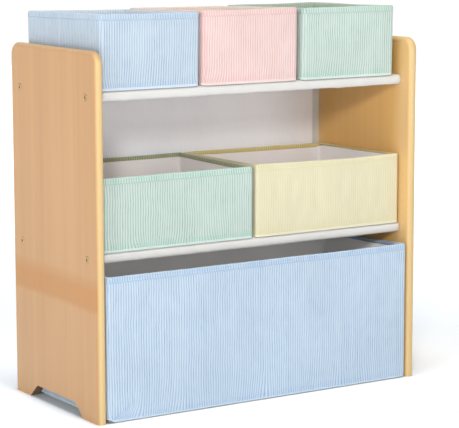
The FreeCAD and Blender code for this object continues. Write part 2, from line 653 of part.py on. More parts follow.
BINS = [
    # name, size family, X position, height of the bin's underside
    ("top_left_bin", "small", "small_left_at", "Dims.upper_shelf_top + Dims.bin_gap"),
    ("top_middle_bin", "small", "small_middle_at", "Dims.upper_shelf_top + Dims.bin_gap"),
    ("top_right_bin", "small", "small_right_at", "Dims.upper_shelf_top + Dims.bin_gap"),
    ("middle_left_bin", "medium", "medium_left_at", "Dims.middle_shelf_top + Dims.bin_gap"),
    ("middle_right_bin", "medium", "medium_right_at", "Dims.middle_shelf_top + Dims.bin_gap"),
    ("large_bin", "large", "large_at", "Dims.large_low"),
]
for name, size, at, low in BINS:
    w, d, h = size + "_width", size + "_depth", size + "_height"
    spot = ("Dims." + at, "Dims.%s_centre_depth" % size, low)
    bin_cover(name + "_cover", w, d, h, *spot)
    bin_boards(name + "_wall_boards", w, d, h, *spot)
    bin_bottom(name + "_bottom", w, d, *spot)
    bin_lining(name + "_lining", w, d, h, *spot)
    bin_insert(name + "_base_insert", w, d, *spot)

doc.recompute()

# ------------------------------------------------------------------ checking
faults = []
for obj in doc.Objects:
    if "Invalid" in obj.State or "Error" in obj.State:
        faults.append("%s: %s" % (obj.Name, obj.State))
labels = [obj.Label for obj in SUBPARTS]
if len(set(labels)) != len(labels):
    faults.append("a label is used twice")
for obj in SUBPARTS:
    shape = obj.Shape
    if shape.isNull() or not shape.isValid() or not shape.Solids:
        faults.append("%s: bad shape" % obj.Label)
if faults:
    raise RuntimeError("; ".join(faults))

os.makedirs("parts", exist_ok=True)
for obj in SUBPARTS:
    shape = obj.Shape
    shape.exportStep("parts/" + obj.Label + ".step")
    box = shape.BoundBox
    print("%-34s solids %2d  volume %10.1f  x %7.1f %7.1f  y %7.1f %7.1f  z %6.1f %6.1f" % (
        obj.Label, len(shape.Solids), shape.Volume, box.XMin, box.XMax, box.YMin, box.YMax, box.ZMin, box.ZMax))
print("sub-parts", len(SUBPARTS))
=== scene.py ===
import math

import bpy
import numpy as np
from mathutils import Matrix, Vector


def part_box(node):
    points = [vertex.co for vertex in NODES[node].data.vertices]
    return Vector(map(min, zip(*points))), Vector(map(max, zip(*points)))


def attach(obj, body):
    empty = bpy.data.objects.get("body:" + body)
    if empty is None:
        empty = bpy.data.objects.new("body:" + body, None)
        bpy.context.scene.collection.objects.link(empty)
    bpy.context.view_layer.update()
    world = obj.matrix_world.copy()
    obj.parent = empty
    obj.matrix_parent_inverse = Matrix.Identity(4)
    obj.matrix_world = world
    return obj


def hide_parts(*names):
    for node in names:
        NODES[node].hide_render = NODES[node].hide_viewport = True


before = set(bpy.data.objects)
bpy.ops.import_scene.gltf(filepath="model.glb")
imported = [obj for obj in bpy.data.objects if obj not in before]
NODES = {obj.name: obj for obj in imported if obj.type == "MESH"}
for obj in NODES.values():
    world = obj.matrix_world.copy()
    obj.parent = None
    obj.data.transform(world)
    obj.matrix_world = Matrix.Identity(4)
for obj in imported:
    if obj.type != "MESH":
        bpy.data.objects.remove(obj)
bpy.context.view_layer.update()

MM = 0.001
SCENE = bpy.context.scene


# =====================================================================
# small helpers
# =====================================================================
def waves(seed, count, low, high):
    """A fixed sum of sines: a smooth, seeded wobble of two variables.
    low and high are its longest and shortest wavelengths, in metres."""
    rng = np.random.default_rng(seed)
    length = np.exp(rng.uniform(np.log(high), np.log(low), count))
    angle = rng.uniform(0, 2 * np.pi, count)
    phase = rng.uniform(0, 2 * np.pi, count)
    weight = length ** 0.5
    weight = weight / np.sqrt((weight ** 2).sum() / 2)

    def value(u, v):
        out = np.zeros(np.broadcast(u, v).shape)
        for L, a, p, w in zip(length, angle, phase, weight):
            out = out + w * np.sin((np.cos(a) * u + np.sin(a) * v) * 2 * np.pi / L + p)
        return out
    return value


def smooth(x, lo, hi):
    t = np.clip((x - lo) / (hi - lo), 0, 1)
    return t * t * (3 - 2 * t)


def bump_at(x, centre, width):
    return np.exp(-((x - centre) / width) ** 2)


def make_mesh(name, verts, quads, attributes=None, tris=None):
    """Mesh object from arrays, with outward normals and smooth shading."""
    verts = np.asarray(verts, float)
    quads = np.asarray(quads, np.int64).reshape(-1, 4)
    parts = [quads]
    a, b, c, d = (verts[quads[:, i]] for i in range(4))
    volume = (np.einsum("ij,ij->i", a, np.cross(b, c)) + np.einsum("ij,ij->i", a, np.cross(c, d))).sum()
    if tris is not None and len(tris):
        tris = np.asarray(tris, np.int64).reshape(-1, 3)
        p, q, r = (verts[tris[:, i]] for i in range(3))
        volume += np.einsum("ij,ij->i", p, np.cross(q, r)).sum()
    flip = volume < 0
    if flip:
        quads = quads[:, [0, 3, 2, 1]]
        if tris is not None and len(tris):
            tris = tris[:, ::-1]
    me = bpy.data.meshes.new(name)
    n_tri = 0 if tris is None else len(tris)
    me.vertices.add(len(verts))
    me.vertices.foreach_set("co", verts.astype(np.float32).ravel())
    loops = quads.ravel() if not n_tri else np.concatenate([quads.ravel(), tris.ravel()])
    me.loops.add(len(loops))
    me.loops.foreach_set("vertex_index", loops.astype(np.int32))
    starts = np.arange(len(quads)) * 4
    if n_tri:
        starts = np.concatenate([starts, len(quads) * 4 + np.arange(n_tri) * 3])
    me.polygons.add(len(starts))
    me.polygons.foreach_set("loop_start", starts.astype(np.int32))
    me.update(calc_edges=True)
    me.validate(clean_customdata=False)
    me.shade_smooth()
    for key, values in (attributes or {}).items():
        layer = me.attributes.new(key, "FLOAT", "POINT")
        layer.data.foreach_set("value", np.asarray(values, np.float32).ravel())
    ob = bpy.data.objects.new(name, me)
    SCENE.collection.objects.link(ob)
    return ob


def wrap_quads(rows, cols, close_rows=True, close_cols=True, first=0):
    """Quads of a grid that may close on itself both ways."""
    r = np.arange(rows if close_rows else rows - 1)
    c = np.arange(cols if close_cols else cols - 1)
    R, C = np.meshgrid(r, c, indexing="ij")
    R2, C2 = (R + 1) % rows, (C + 1) % cols
    q = np.stack([R * cols + C, R * cols + C2, R2 * cols + C2, R2 * cols + C], axis=-1)
    return q.reshape(-1, 4) + first


class Ring:
    """Rounded rectangle round a centre. A point on it is a share of its length,
    and keeps its place when the ring is offset outwards or inwards."""

    def __init__(self, cx, cy, half_x, half_y, corner, columns):
        self.c = (cx, cy)
        self.a, self.b, self.r = half_x, half_y, corner
        sx, sy, arc = 2 * (half_x - corner), 2 * (half_y - corner), corner * math.pi / 2
        self.length = 2 * (sx + sy) + 4 * arc
        s = np.arange(columns) * self.length / columns
        self.s = s
        # segments: front, corner, right, corner, back, corner, left, corner
        lengths = [sx, arc, sy, arc, sx, arc, sy, arc]
        edges = np.concatenate([[0], np.cumsum(lengths)])
        self.seg = np.clip(np.searchsorted(edges, s, side="right") - 1, 0, 7)
        self.t = (s - edges[self.seg]) / np.array(lengths)[self.seg]
        # distance along the ring to the nearest corner's middle
        mids = np.array([edges[i] + lengths[i] / 2 for i in (1, 3, 5, 7)])
        d = np.abs(s[:, None] - mids[None, :])
        self.corner_distance = np.minimum(d, self.length - d).min(1)

    def at(self, offset, lift=0.0):
        """Points (x, y) and outward normals at an offset; lift is added along the normal."""
        a, b = self.a + offset, self.b + offset
        r = max(self.r + offset, 0.0008)
        x, y = np.zeros(len(self.s)), np.zeros(len(self.s))
        nx, ny = np.zeros(len(self.s)), np.zeros(len(self.s))
        for seg in range(8):
            m = self.seg == seg
            t = self.t[m]
            if seg == 0:
                x[m], y[m], nx[m], ny[m] = -(a - r) + 2 * (a - r) * t, -b, 0, -1
            elif seg == 2:
                x[m], y[m], nx[m], ny[m] = a, -(b - r) + 2 * (b - r) * t, 1, 0
            elif seg == 4:
                x[m], y[m], nx[m], ny[m] = (a - r) - 2 * (a - r) * t, b, 0, 1
            elif seg == 6:
                x[m], y[m], nx[m], ny[m] = -a, (b - r) - 2 * (b - r) * t, -1, 0
            else:
                ox, oy, start = {1: (1, -1, -0.5), 3: (1, 1, 0.0), 5: (-1, 1, 0.5), 7: (-1, -1, 1.0)}[seg]
                ang = math.pi * start + t * math.pi / 2
                nx[m], ny[m] = np.cos(ang), np.sin(ang)
                x[m] = ox * (a - r) + r * nx[m]
                y[m] = oy * (b - r) + r * ny[m]
        lift = np.asarray(lift)
        return self.c[0] + x + nx * lift, self.c[1] + y + ny * lift, nx, ny


# =====================================================================
# node materials
# =====================================================================
def srgb(r, g, b):
    def lin(v):
        v = v / 255.0
        return v / 12.92 if v <= 0.04045 else ((v + 0.055) / 1.055) ** 2.4
    return (lin(r), lin(g), lin(b), 1.0)


class Mat:
    """Small builder for a node material."""

    def __init__(self, name, roughness=0.6, metallic=0.0, **sockets):
        self.m = bpy.data.materials.new(name)
        self.m.use_nodes = True
        self.t = self.m.node_tree
        self.n = self.t.nodes
        self.bsdf = self.n["Principled BSDF"]
        self.bsdf.inputs["Roughness"].default_value = roughness
        self.bsdf.inputs["Metallic"].default_value = metallic
        for key, value in sockets.items():
            self.bsdf.inputs[key.replace("_", " ")].default_value = value

    def link(self, a, b):
        self.t.links.new(a, b)

    def node(self, kind, **props):
        n = self.n.new(kind)
        for k, v in props.items():
            setattr(n, k, v)
        return n

    def put(self, value, socket):
        if isinstance(value, bpy.types.NodeSocket):
            self.link(value, socket)
        else:
            socket.default_value = value

    def math(self, op, a, b=0.0, c=None, clamp=False):
        n = self.node("ShaderNodeMath", operation=op, use_clamp=clamp)
        self.put(a, n.inputs[0])
        self.put(b, n.inputs[1])
        if c is not None:
            self.put(c, n.inputs[2])
        return n.outputs[0]

    def coords(self):
        return self.node("ShaderNodeTexCoord").outputs["Object"]

    def mapped(self, scale, offset=(0, 0, 0), rotation=(0, 0, 0)):
        n = self.node("ShaderNodeMapping")
        n.inputs["Scale"].default_value = scale
        n.inputs["Location"].default_value = offset
        n.inputs["Rotation"].default_value = rotation
        self.link(self.coords(), n.inputs["Vector"])
        return n.outputs[0]

    def noise(self, scale=(1, 1, 1), size=1.0, detail=3.0, rough=0.55, distort=0.0, offset=(0, 0, 0)):
        n = self.node("ShaderNodeTexNoise")
        n.inputs["Scale"].default_value = size
        n.inputs["Detail"].default_value = detail
        n.inputs["Roughness"].default_value = rough
        n.inputs["Distortion"].default_value = distort
        self.link(self.mapped(scale, offset), n.inputs["Vector"])
        return n.outputs["Fac"]

    def ramp(self, value, stops, mode="LINEAR"):
        n = self.node("ShaderNodeValToRGB")
        n.color_ramp.interpolation = mode
        els = n.color_ramp.elements
        while len(els) < len(stops):
            els.new(0.5)
        for e, (pos, col) in zip(els, stops):
            e.position = pos
            e.color = col if len(col) == 4 else (*col, 1)
        self.put(value, n.inputs["Fac"])
        return n.outputs["Color"]

    def map(self, value, a, b, c, d, clamp=True):
        n = self.node("ShaderNodeMapRange", clamp=clamp)
        self.put(value, n.inputs["Value"])
        for i, v in zip((1, 2, 3, 4), (a, b, c, d)):
            n.inputs[i].default_value = v
        return n.outputs["Result"]

    def mix(self, fac, a, b, blend="MIX"):
        n = self.node("ShaderNodeMix", data_type="RGBA", blend_type=blend)
        self.put(fac, n.inputs["Factor"])
        self.put(a, n.inputs["A"])
        self.put(b, n.inputs["B"])
        return n.outputs["Result"]

    def attribute(self, name):
        n = self.node("ShaderNodeAttribute", attribute_name=name)
        return n.outputs["Fac"]

    def color(self, value):
        self.put(value, self.bsdf.inputs["Base Color"])

    def roughness(self, value):
        self.put(value, self.bsdf.inputs["Roughness"])

    def bump(self, *heights):
        """heights: (value, strength, distance in metres), applied one on the other."""
        normal = None
        for value, strength, distance in heights:
            n = self.node("ShaderNodeBump")
            n.inputs["Strength"].default_value = strength
            n.inputs["Distance"].default_value = distance
            self.link(value, n.inputs["Height"])
            if normal is not None:
                self.link(normal, n.inputs["Normal"])
            normal = n.outputs["Normal"]
        self.link(normal, self.bsdf.inputs["Normal"])


def wood_material(name, face, face_dark, edge, edge_dark, seed=0.0, band=None, rim=None):
    """Light laminate with a soft upright grain; the rounded edges are yellower.
    band: low and high height, and colour, of a warmer zone. rim: |y| where a paler rim starts to fade in, its end and
    its colour; this paler rim near the open edges is painted light. Faces that look down are painted dark, as shade."""
    m = Mat(name, roughness=0.42)
    o = seed
    bands = m.noise((30, 30, 0.9), 1.0, 2.0, 0.5, 0.2, (o, o * 0.7, 0))
    streaks = m.noise((95, 95, 1.7), 1.0, 3.0, 0.55, 0.0, (o * 2, 0, o))
    pores = m.noise((620, 620, 14), 1.0, 2.0, 0.6, 0.0, (0, o, 0))
    mottle = m.noise((5, 5, 3), 1.0, 2.0, 0.5, 0.4, (o, 0, o))
    mixed = m.math("MULTIPLY_ADD", bands, 0.42, m.math("MULTIPLY_ADD", streaks, 0.38, m.math("MULTIPLY", mottle, 0.20)))
    grain = m.ramp(mixed, [(0.30, face_dark), (0.50, tuple((a + b) / 2 for a, b in zip(face, face_dark))), (0.68, face)])
    fine = m.math("MULTIPLY", m.map(pores, 0.58, 0.76, 0.0, 1.0), 0.07)
    grain = m.mix(fine, grain, tuple(v * 0.62 for v in face_dark[:3]) + (1,))
    line = m.math("MULTIPLY", m.map(m.noise((120, 120, 0.5), 1.0, 1.0, 0.5, 0.0, (o, o * 3, 0)), 0.70, 0.78, 0.0, 1.0), 0.22)
    grain = m.mix(line, grain, tuple(v * 0.74 for v in face_dark[:3]) + (1,))
    place = m.node("ShaderNodeSeparateXYZ")
    m.link(m.coords(), place.inputs[0])
    if band is not None:
        low, high, tone, share = band
        wander = m.math("MULTIPLY", m.math("SUBTRACT", m.noise((14, 14, 2), 1.0, 2.0, 0.5, 0.3, (0, o, 3)), 0.5), 0.012)
        z = m.math("ADD", place.outputs["Z"], wander)
        inside = m.math("MULTIPLY", m.map(z, low, low + 0.010, 0.0, 1.0), m.map(z, high - 0.024, high, 1.0, 0.0))
        grain = m.mix(m.math("MULTIPLY", inside, share), grain, tone)
    edge_col = m.ramp(streaks, [(0.25, edge_dark), (0.7, edge)])
    normal = m.node("ShaderNodeTexCoord").outputs["Normal"]
    split = m.node("ShaderNodeSeparateXYZ")
    m.link(normal, split.inputs[0])
    flat = m.math("ABSOLUTE", split.outputs["X"])
    side = m.map(flat, 0.55, 0.93, 1.0, 0.0)
    # edges that face up or down take less of the paler edge colour: painted shade on the top edges
    side = m.math("MULTIPLY", side, m.map(m.math("ABSOLUTE", split.outputs["Z"]), 0.35, 0.80, 1.0, 0.25))
    # rim: painted light, a paler zone on the panel near its open front and back edges, where more light falls
    if rim is not None:
        near = m.map(m.math("ABSOLUTE", place.outputs["Y"]), rim[0], rim[1], 0.0, 1.0)
        grain = m.mix(near, grain, rim[2])
    # faces that look down are painted dark: painted shade
    painted_down_shade = m.map(split.outputs["Z"], -0.50, -0.30, 0.85, 0.0)
    m.color(m.mix(painted_down_shade, m.mix(side, grain, edge_col), tuple(v * 0.22 for v in face_dark[:3]) + (1,)))
    m.roughness(m.map(m.math("ADD", streaks, pores), 0.6, 1.4, 0.36, 0.5))
    m.bump((streaks, 0.05, 0.0004), (pores, 0.04, 0.0002))
    m.bsdf.inputs["Coat Weight"].default_value = 0.12
    m.bsdf.inputs["Coat Roughness"].default_value = 0.35
    return m.m


def corduroy_material(name, crest, valley, hem_crest, hem_valley, light, inner, inner_dark, seed=0.0, fill_share=0.20):
    """Ribbed pile: attributes say where the ribs, hems, turned-in hem, the pale piping and the painted highlights are.
    """
    m = Mat(name, roughness=0.92, Sheen_Weight=0.35, Sheen_Roughness=0.45, Specular_IOR_Level=0.25)
    m.bsdf.inputs["Sheen Tint"].default_value = (1, 1, 1, 1)
    rib = m.attribute("rib")
    cloud = m.noise((9, 9, 7), 1.0, 3.0, 0.55, 0.3, (seed, seed, 0))
    worn = m.noise((26, 26, 16), 1.0, 3.0, 0.6, 0.5, (0, seed, seed))
    streak = m.noise((420, 420, 42), 1.0, 3.0, 0.6, 0.0, (0, seed, 0))
    pile = m.noise((2600, 2600, 1500), 1.0, 3.0, 0.6, 0.0, (seed, 0, 0))
    knit = m.noise((900, 900, 1100), 1.0, 2.0, 0.5, 0.0, (0, 0, seed))
    level = m.math("ADD", rib, m.math("MULTIPLY", m.math("SUBTRACT", streak, 0.5), 0.24))
    level = m.math("ADD", level, m.math("MULTIPLY", m.math("SUBTRACT", pile, 0.5), 0.22))
    # where the pile is brushed the valleys fill up
    fill = m.map(worn, 0.46, 0.74, 0.0, fill_share)
    level = m.math("ADD", level, m.math("MULTIPLY", fill, m.math("SUBTRACT", 1.0, rib)))
    # the valley colour is darker than the wale tops: partly the cloth's own tone, partly painted shade between the ribs
    base = m.ramp(level, [(0.10, valley), (0.52, tuple(0.45 * a + 0.55 * b for a, b in zip(valley, crest))), (0.92, crest)])
    hemmed = m.ramp(level, [(0.10, hem_valley), (0.62, tuple(0.5 * a + 0.5 * b for a, b in zip(hem_valley, hem_crest))), (0.98, hem_crest)])
    tint = m.mix(m.attribute("hem"), base, hemmed)
    turned = m.ramp(level, [(0.15, inner_dark), (0.90, inner)])
    tint = m.mix(m.attribute("inner"), tint, turned)
    # the pale colour: on the piping its own tone, elsewhere painted highlight on the rim fold, the stitch ridge and the
    # pressed fold
    piping_and_highlight = m.mix(m.math("MULTIPLY", m.attribute("piping_and_highlight"), 0.85), tint, light)
    shade = m.map(cloud, 0.3, 0.72, 0.955, 1.03)
    n = m.node("ShaderNodeVectorMath", operation="SCALE")
    m.link(piping_and_highlight, n.inputs[0])
    m.link(shade, n.inputs["Scale"])
    m.color(n.outputs[0])
    m.bump((pile, 0.35, 0.0005), (knit, 0.22, 0.0004))
    return m.m


def cloth_material(name, light, dark, thread=0.0005, seed=0.0, sheen=0.15, rough=0.9, bump=0.4):
    """Plain weave: two crossing sets of threads and a soft mottle."""
    m = Mat(name, roughness=rough, Sheen_Weight=sheen, Sheen_Roughness=0.4, Specular_IOR_Level=0.25)
    split = m.node("ShaderNodeSeparateXYZ")
    m.link(m.coords(), split.inputs[0])
    k = 2 * math.pi / (2 * thread)
    waves_ = []
    for axis in "XYZ":
        waves_.append(m.math("SINE", m.math("MULTIPLY", split.outputs[axis], k)))
    weave = m.math("MULTIPLY", m.math("MULTIPLY", m.math("ADD", waves_[0], waves_[1]), 0.5), waves_[2])
    weave2 = m.math("MULTIPLY", waves_[0], waves_[1])
    both = m.math("ADD", m.math("MULTIPLY", weave, 0.25), m.math("MULTIPLY_ADD", weave2, 0.25, 0.5))
    fibre = m.noise((1400, 1400, 1400), 1.0, 3.0, 0.6, 0.0, (seed, 0, 0))
    cloud = m.noise((12, 12, 12), 1.0, 3.0, 0.55, 0.2, (seed, seed, seed))
    value = m.math("MULTIPLY_ADD", fibre, 0.5, m.math("MULTIPLY_ADD", cloud, 0.35, m.math("MULTIPLY", both, 0.15)))
    m.color(m.ramp(value, [(0.30, dark), (0.68, light)]))
    m.bump((both, bump * 0.6, 0.0003), (fibre, bump, 0.0003))
    return m.m


def felt_material(name, light, dark, seed=0.0):
    """Pressed non-woven with its small diamond dimples."""
    m = Mat(name, roughness=0.95, Sheen_Weight=0.12, Sheen_Roughness=0.5, Specular_IOR_Level=0.2)
    split = m.node("ShaderNodeSeparateXYZ")
    m.link(m.coords(), split.inputs[0])
    k = 2 * math.pi / 0.0016
    flat = m.math("ADD", split.outputs["X"], split.outputs["Y"])
    u = m.math("SINE", m.math("MULTIPLY", m.math("ADD", flat, split.outputs["Z"]), k))
    v = m.math("SINE", m.math("MULTIPLY", m.math("SUBTRACT", flat, split.outputs["Z"]), k))
    dimple = m.map(m.math("MULTIPLY", u, v), 0.35, 0.9, 0.0, 1.0)
    fibre = m.noise((1100, 1100, 1100), 1.0, 4.0, 0.65, 0.8, (seed, 0, 0))
    cloud = m.noise((10, 10, 8), 1.0, 3.0, 0.5, 0.2, (0, seed, 0))
    value = m.math("MULTIPLY_ADD", fibre, 0.5, m.math("MULTIPLY_ADD", cloud, 0.42, m.math("MULTIPLY", dimple, -0.10)))
    m.color(m.ramp(value, [(0.28, dark), (0.62, light)]))
    m.bump((dimple, -0.35, 0.0003), (fibre, 0.35, 0.0003))
    return m.m


def board_material(name, light, dark, rough=0.6, fibre_scale=(700, 700, 90), seed=0.0):
    m = Mat(name, roughness=rough)
    fibre = m.noise(fibre_scale, 1.0, 4.0, 0.6, 0.2, (seed, 0, 0))
    cloud = m.noise((6, 6, 2.2), 1.0, 3.0, 0.5, 0.3, (0, seed, seed))
    speck = m.noise((1500, 1500, 1500), 1.0, 2.0, 0.6, 0.0, (seed, seed, 0))
    value = m.math("MULTIPLY_ADD", cloud, 0.55, m.math("MULTIPLY_ADD", fibre, 0.3, m.math("MULTIPLY", speck, 0.15)))
    m.color(m.ramp(value, [(0.34, dark), (0.64, light)]))
    m.roughness(m.map(fibre, 0.3, 0.7, rough - 0.06, rough + 0.08))
    m.bump((fibre, 0.12, 0.0003), (speck, 0.12, 0.0002))
    return m.m


def metal_material(name, light, dark, rough=0.32, seed=0.0, metallic=1.0):
    m = Mat(name, roughness=rough, metallic=metallic)
    brush = m.noise((900, 300, 300), 1.0, 3.0, 0.6, 0.0, (seed, 0, 0))
    stain = m.noise((160, 160, 160), 1.0, 3.0, 0.6, 0.4, (seed, seed, 0))
    value = m.math("MULTIPLY_ADD", brush, 0.4, m.math("MULTIPLY", stain, 0.6))
    m.color(m.ramp(value, [(0.32, dark), (0.62, light)]))
    m.roughness(m.map(stain, 0.3, 0.7, rough - 0.07, rough + 0.14))
    m.bump((brush, 0.15, 0.0001))
    return m.m


def paint_material(name, light, dark, rough=0.35, seed=0.0):
    m = Mat(name, roughness=rough, Coat_Weight=0.2)
    peel = m.noise((1200, 1200, 1200), 1.0, 2.0, 0.5, 0.0, (seed, 0, 0))
    cloud = m.noise((30, 30, 30), 1.0, 3.0, 0.5, 0.0, (0, seed, 0))
    m.color(m.ramp(cloud, [(0.3, dark), (0.7, light)]))
    m.roughness(m.map(peel, 0.3, 0.7, rough - 0.05, rough + 0.08))
    m.bump((peel, 0.15, 0.0002))
    return m.m


# the two side panels are one laminate; each gets its own colours, set for the light it gets: lit and shaded copies,
# painted light and shade
WOOD_L = wood_material("wood_left", srgb(196, 151, 101), srgb(182, 136, 87), srgb(209, 181, 126), srgb(201, 168, 113), 0.3, band=(0.176, 0.236, srgb(183, 125, 58), 0.80))
WOOD_R = wood_material("wood_right", srgb(221, 173, 100), srgb(213, 164, 92), srgb(210, 182, 127), srgb(202, 169, 114), 4.1, rim=(0.095, 0.122, srgb(224, 184, 124)))
CORD = {}
# inner and inner_dark, the colours of the turned-in hem, are set per bin for the light inside it: paler in the well-lit
# top bins, darker and more olive in the shaded middle and large bins: painted light and shade
for key, crest, valley, hem_crest, hem_valley, light, inner, inner_dark, seed in (
    ("top_left_bin", (184, 197, 207), (103, 131, 166), (173, 193, 214), (93, 134, 182), (200, 212, 223), (199, 211, 219), (157, 176, 192), 0.7),
    ("top_middle_bin", (218, 197, 194), (195, 140, 137), (215, 189, 184), (198, 140, 135), (222, 205, 201), (229, 210, 198), (206, 181, 169), 2.1),
    ("top_right_bin", (190, 203, 197), (103, 142, 128), (178, 202, 191), (92, 155, 131), (203, 217, 211), (174, 188, 172), (129, 148, 129), 3.3),
    ("middle_left_bin", (190, 203, 197), (103, 142, 128), (178, 204, 194), (90, 157, 134), (203, 220, 214), (168, 171, 135), (109, 114, 78), 3.9),
    ("middle_right_bin", (211, 205, 176), (203, 194, 156), (215, 208, 171), (195, 179, 110), (223, 219, 195), (218, 204, 139), (177, 159, 86), 5.2),
    ("large_bin", (188, 203, 216), (105, 135, 173), (178, 197, 216), (95, 136, 185), (201, 214, 224), (167, 186, 204), (116, 141, 168), 1.6),
):
    CORD[key] = corduroy_material("corduroy_" + key, *(srgb(*c) for c in (crest, valley, hem_crest, hem_valley, light, inner, inner_dark)), seed)
THREAD = {
    "blue": cloth_material("thread_blue", srgb(173, 190, 209), srgb(143, 167, 194), 0.0004, 1.0),
    "pink": cloth_material("thread_pink", srgb(212, 182, 179), srgb(194, 156, 154), 0.0004, 2.0),
    "green": cloth_material("thread_green", srgb(175, 195, 189), srgb(144, 174, 163), 0.0004, 3.0),
    "yellow": cloth_material("thread_yellow", srgb(216, 208, 173), srgb(196, 183, 141), 0.0004, 4.0),
}
SLEEVE = cloth_material("shelf_cloth", srgb(209, 208, 204), srgb(199, 197, 195), 0.0005, 0.4, 0.1, 0.72, 0.25)
# one lining felt in three colours, set for the light inside each bin: whitest in the dark large bin, greyer and pinker
# in the middle bins: painted light and shade
LINING = {
    "top": felt_material("lining_felt", srgb(247, 247, 245), srgb(236, 235, 233), 0.9),
    "middle": felt_material("lining_felt_middle", srgb(243, 239, 238), srgb(232, 228, 227), 1.1),
    "large": felt_material("lining_felt_large", srgb(253, 253, 253), srgb(247, 247, 247), 1.3),
}
INSERT = felt_material("insert_felt", srgb(243, 240, 238), srgb(228, 224, 221), 1.9)
BOTTOM = felt_material("bottom_felt", srgb(196, 193, 190), srgb(170, 167, 164), 2.9)
THREAD_GREY = cloth_material("thread_grey", srgb(230, 226, 222), srgb(200, 196, 192), 0.0004, 5.0)
BACK = board_material("back_white_board", srgb(245, 246, 250), srgb(235, 235, 240), 0.62, (500, 500, 40), 0.2)
# the battens are white boards like the back; their colour is set greyer to paint the shade of the deep rear corners
BATTEN = board_material("batten_white", srgb(218, 221, 219), srgb(201, 203, 201), 0.6, (600, 600, 50), 1.2)
FIBRE = board_material("raw_fibre_board", srgb(168, 156, 138), srgb(138, 126, 108), 0.85, (800, 800, 300), 2.2)
DOWEL = board_material("raw_beech", srgb(222, 190, 146), srgb(200, 164, 118), 0.6, (900, 900, 60), 3.2)
BOLT = metal_material("yellow_zinc", srgb(214, 184, 142), srgb(160, 128, 88), 0.44, 0.5)
ROD = paint_material("rod_white", srgb(232, 231, 229), srgb(222, 221, 219), 0.38, 0.3)
PLUG = paint_material("plug_nylon", srgb(210, 209, 206), srgb(192, 191, 188), 0.5, 1.3)


def give(ob, material):
    ob.data.materials.clear()
    ob.data.materials.append(material)
    return ob


# =====================================================================
# camera, lights, floor
# =====================================================================
def make_camera():
    data = bpy.data.cameras.new("camera")
    cam = bpy.data.objects.new("camera", data)
    SCENE.collection.objects.link(cam)
    yaw, pitch, roll = math.radians(32.561), math.radians(-8.789), math.radians(-0.091)
    fw = Vector((math.sin(yaw) * math.cos(pitch), math.cos(yaw) * math.cos(pitch), math.sin(pitch)))
    rt = Vector((math.cos(yaw), -math.sin(yaw), 0))
    up = rt.cross(fw)
    right = rt * math.cos(roll) + up * math.sin(roll)
    upper = -rt * math.sin(roll) + up * math.cos(roll)
    m = Matrix((right, upper, -fw)).transposed().to_4x4()
    m.translation = Vector((-1.75009, -2.77954, 0.79877))
    cam.matrix_world = m
    data.sensor_fit = "HORIZONTAL"
    data.sensor_width = 36.0
    data.lens = 1970.08 / 459 * 36.0
    data.clip_start, data.clip_end = 0.05, 60
    SCENE.camera = cam
    return cam


def area_light(name, azimuth, elevation, size, power, colour):
    data = bpy.data.lights.new(name, "AREA")
    data.energy = power
    data.color = colour
    data.shape = "DISK"
    data.size = size
    ob = bpy.data.objects.new(name, data)
    SCENE.collection.objects.link(ob)
    a, e = math.radians(azimuth), math.radians(elevation)
    aim = Vector((0.0, 0.0, 0.35))
    ob.location = aim + 3.7 * Vector((math.sin(a) * math.cos(e), -math.cos(a) * math.cos(e), math.sin(e)))
    ob.rotation_euler = (aim - ob.location).to_track_quat("-Z", "Y").to_euler()
    return ob


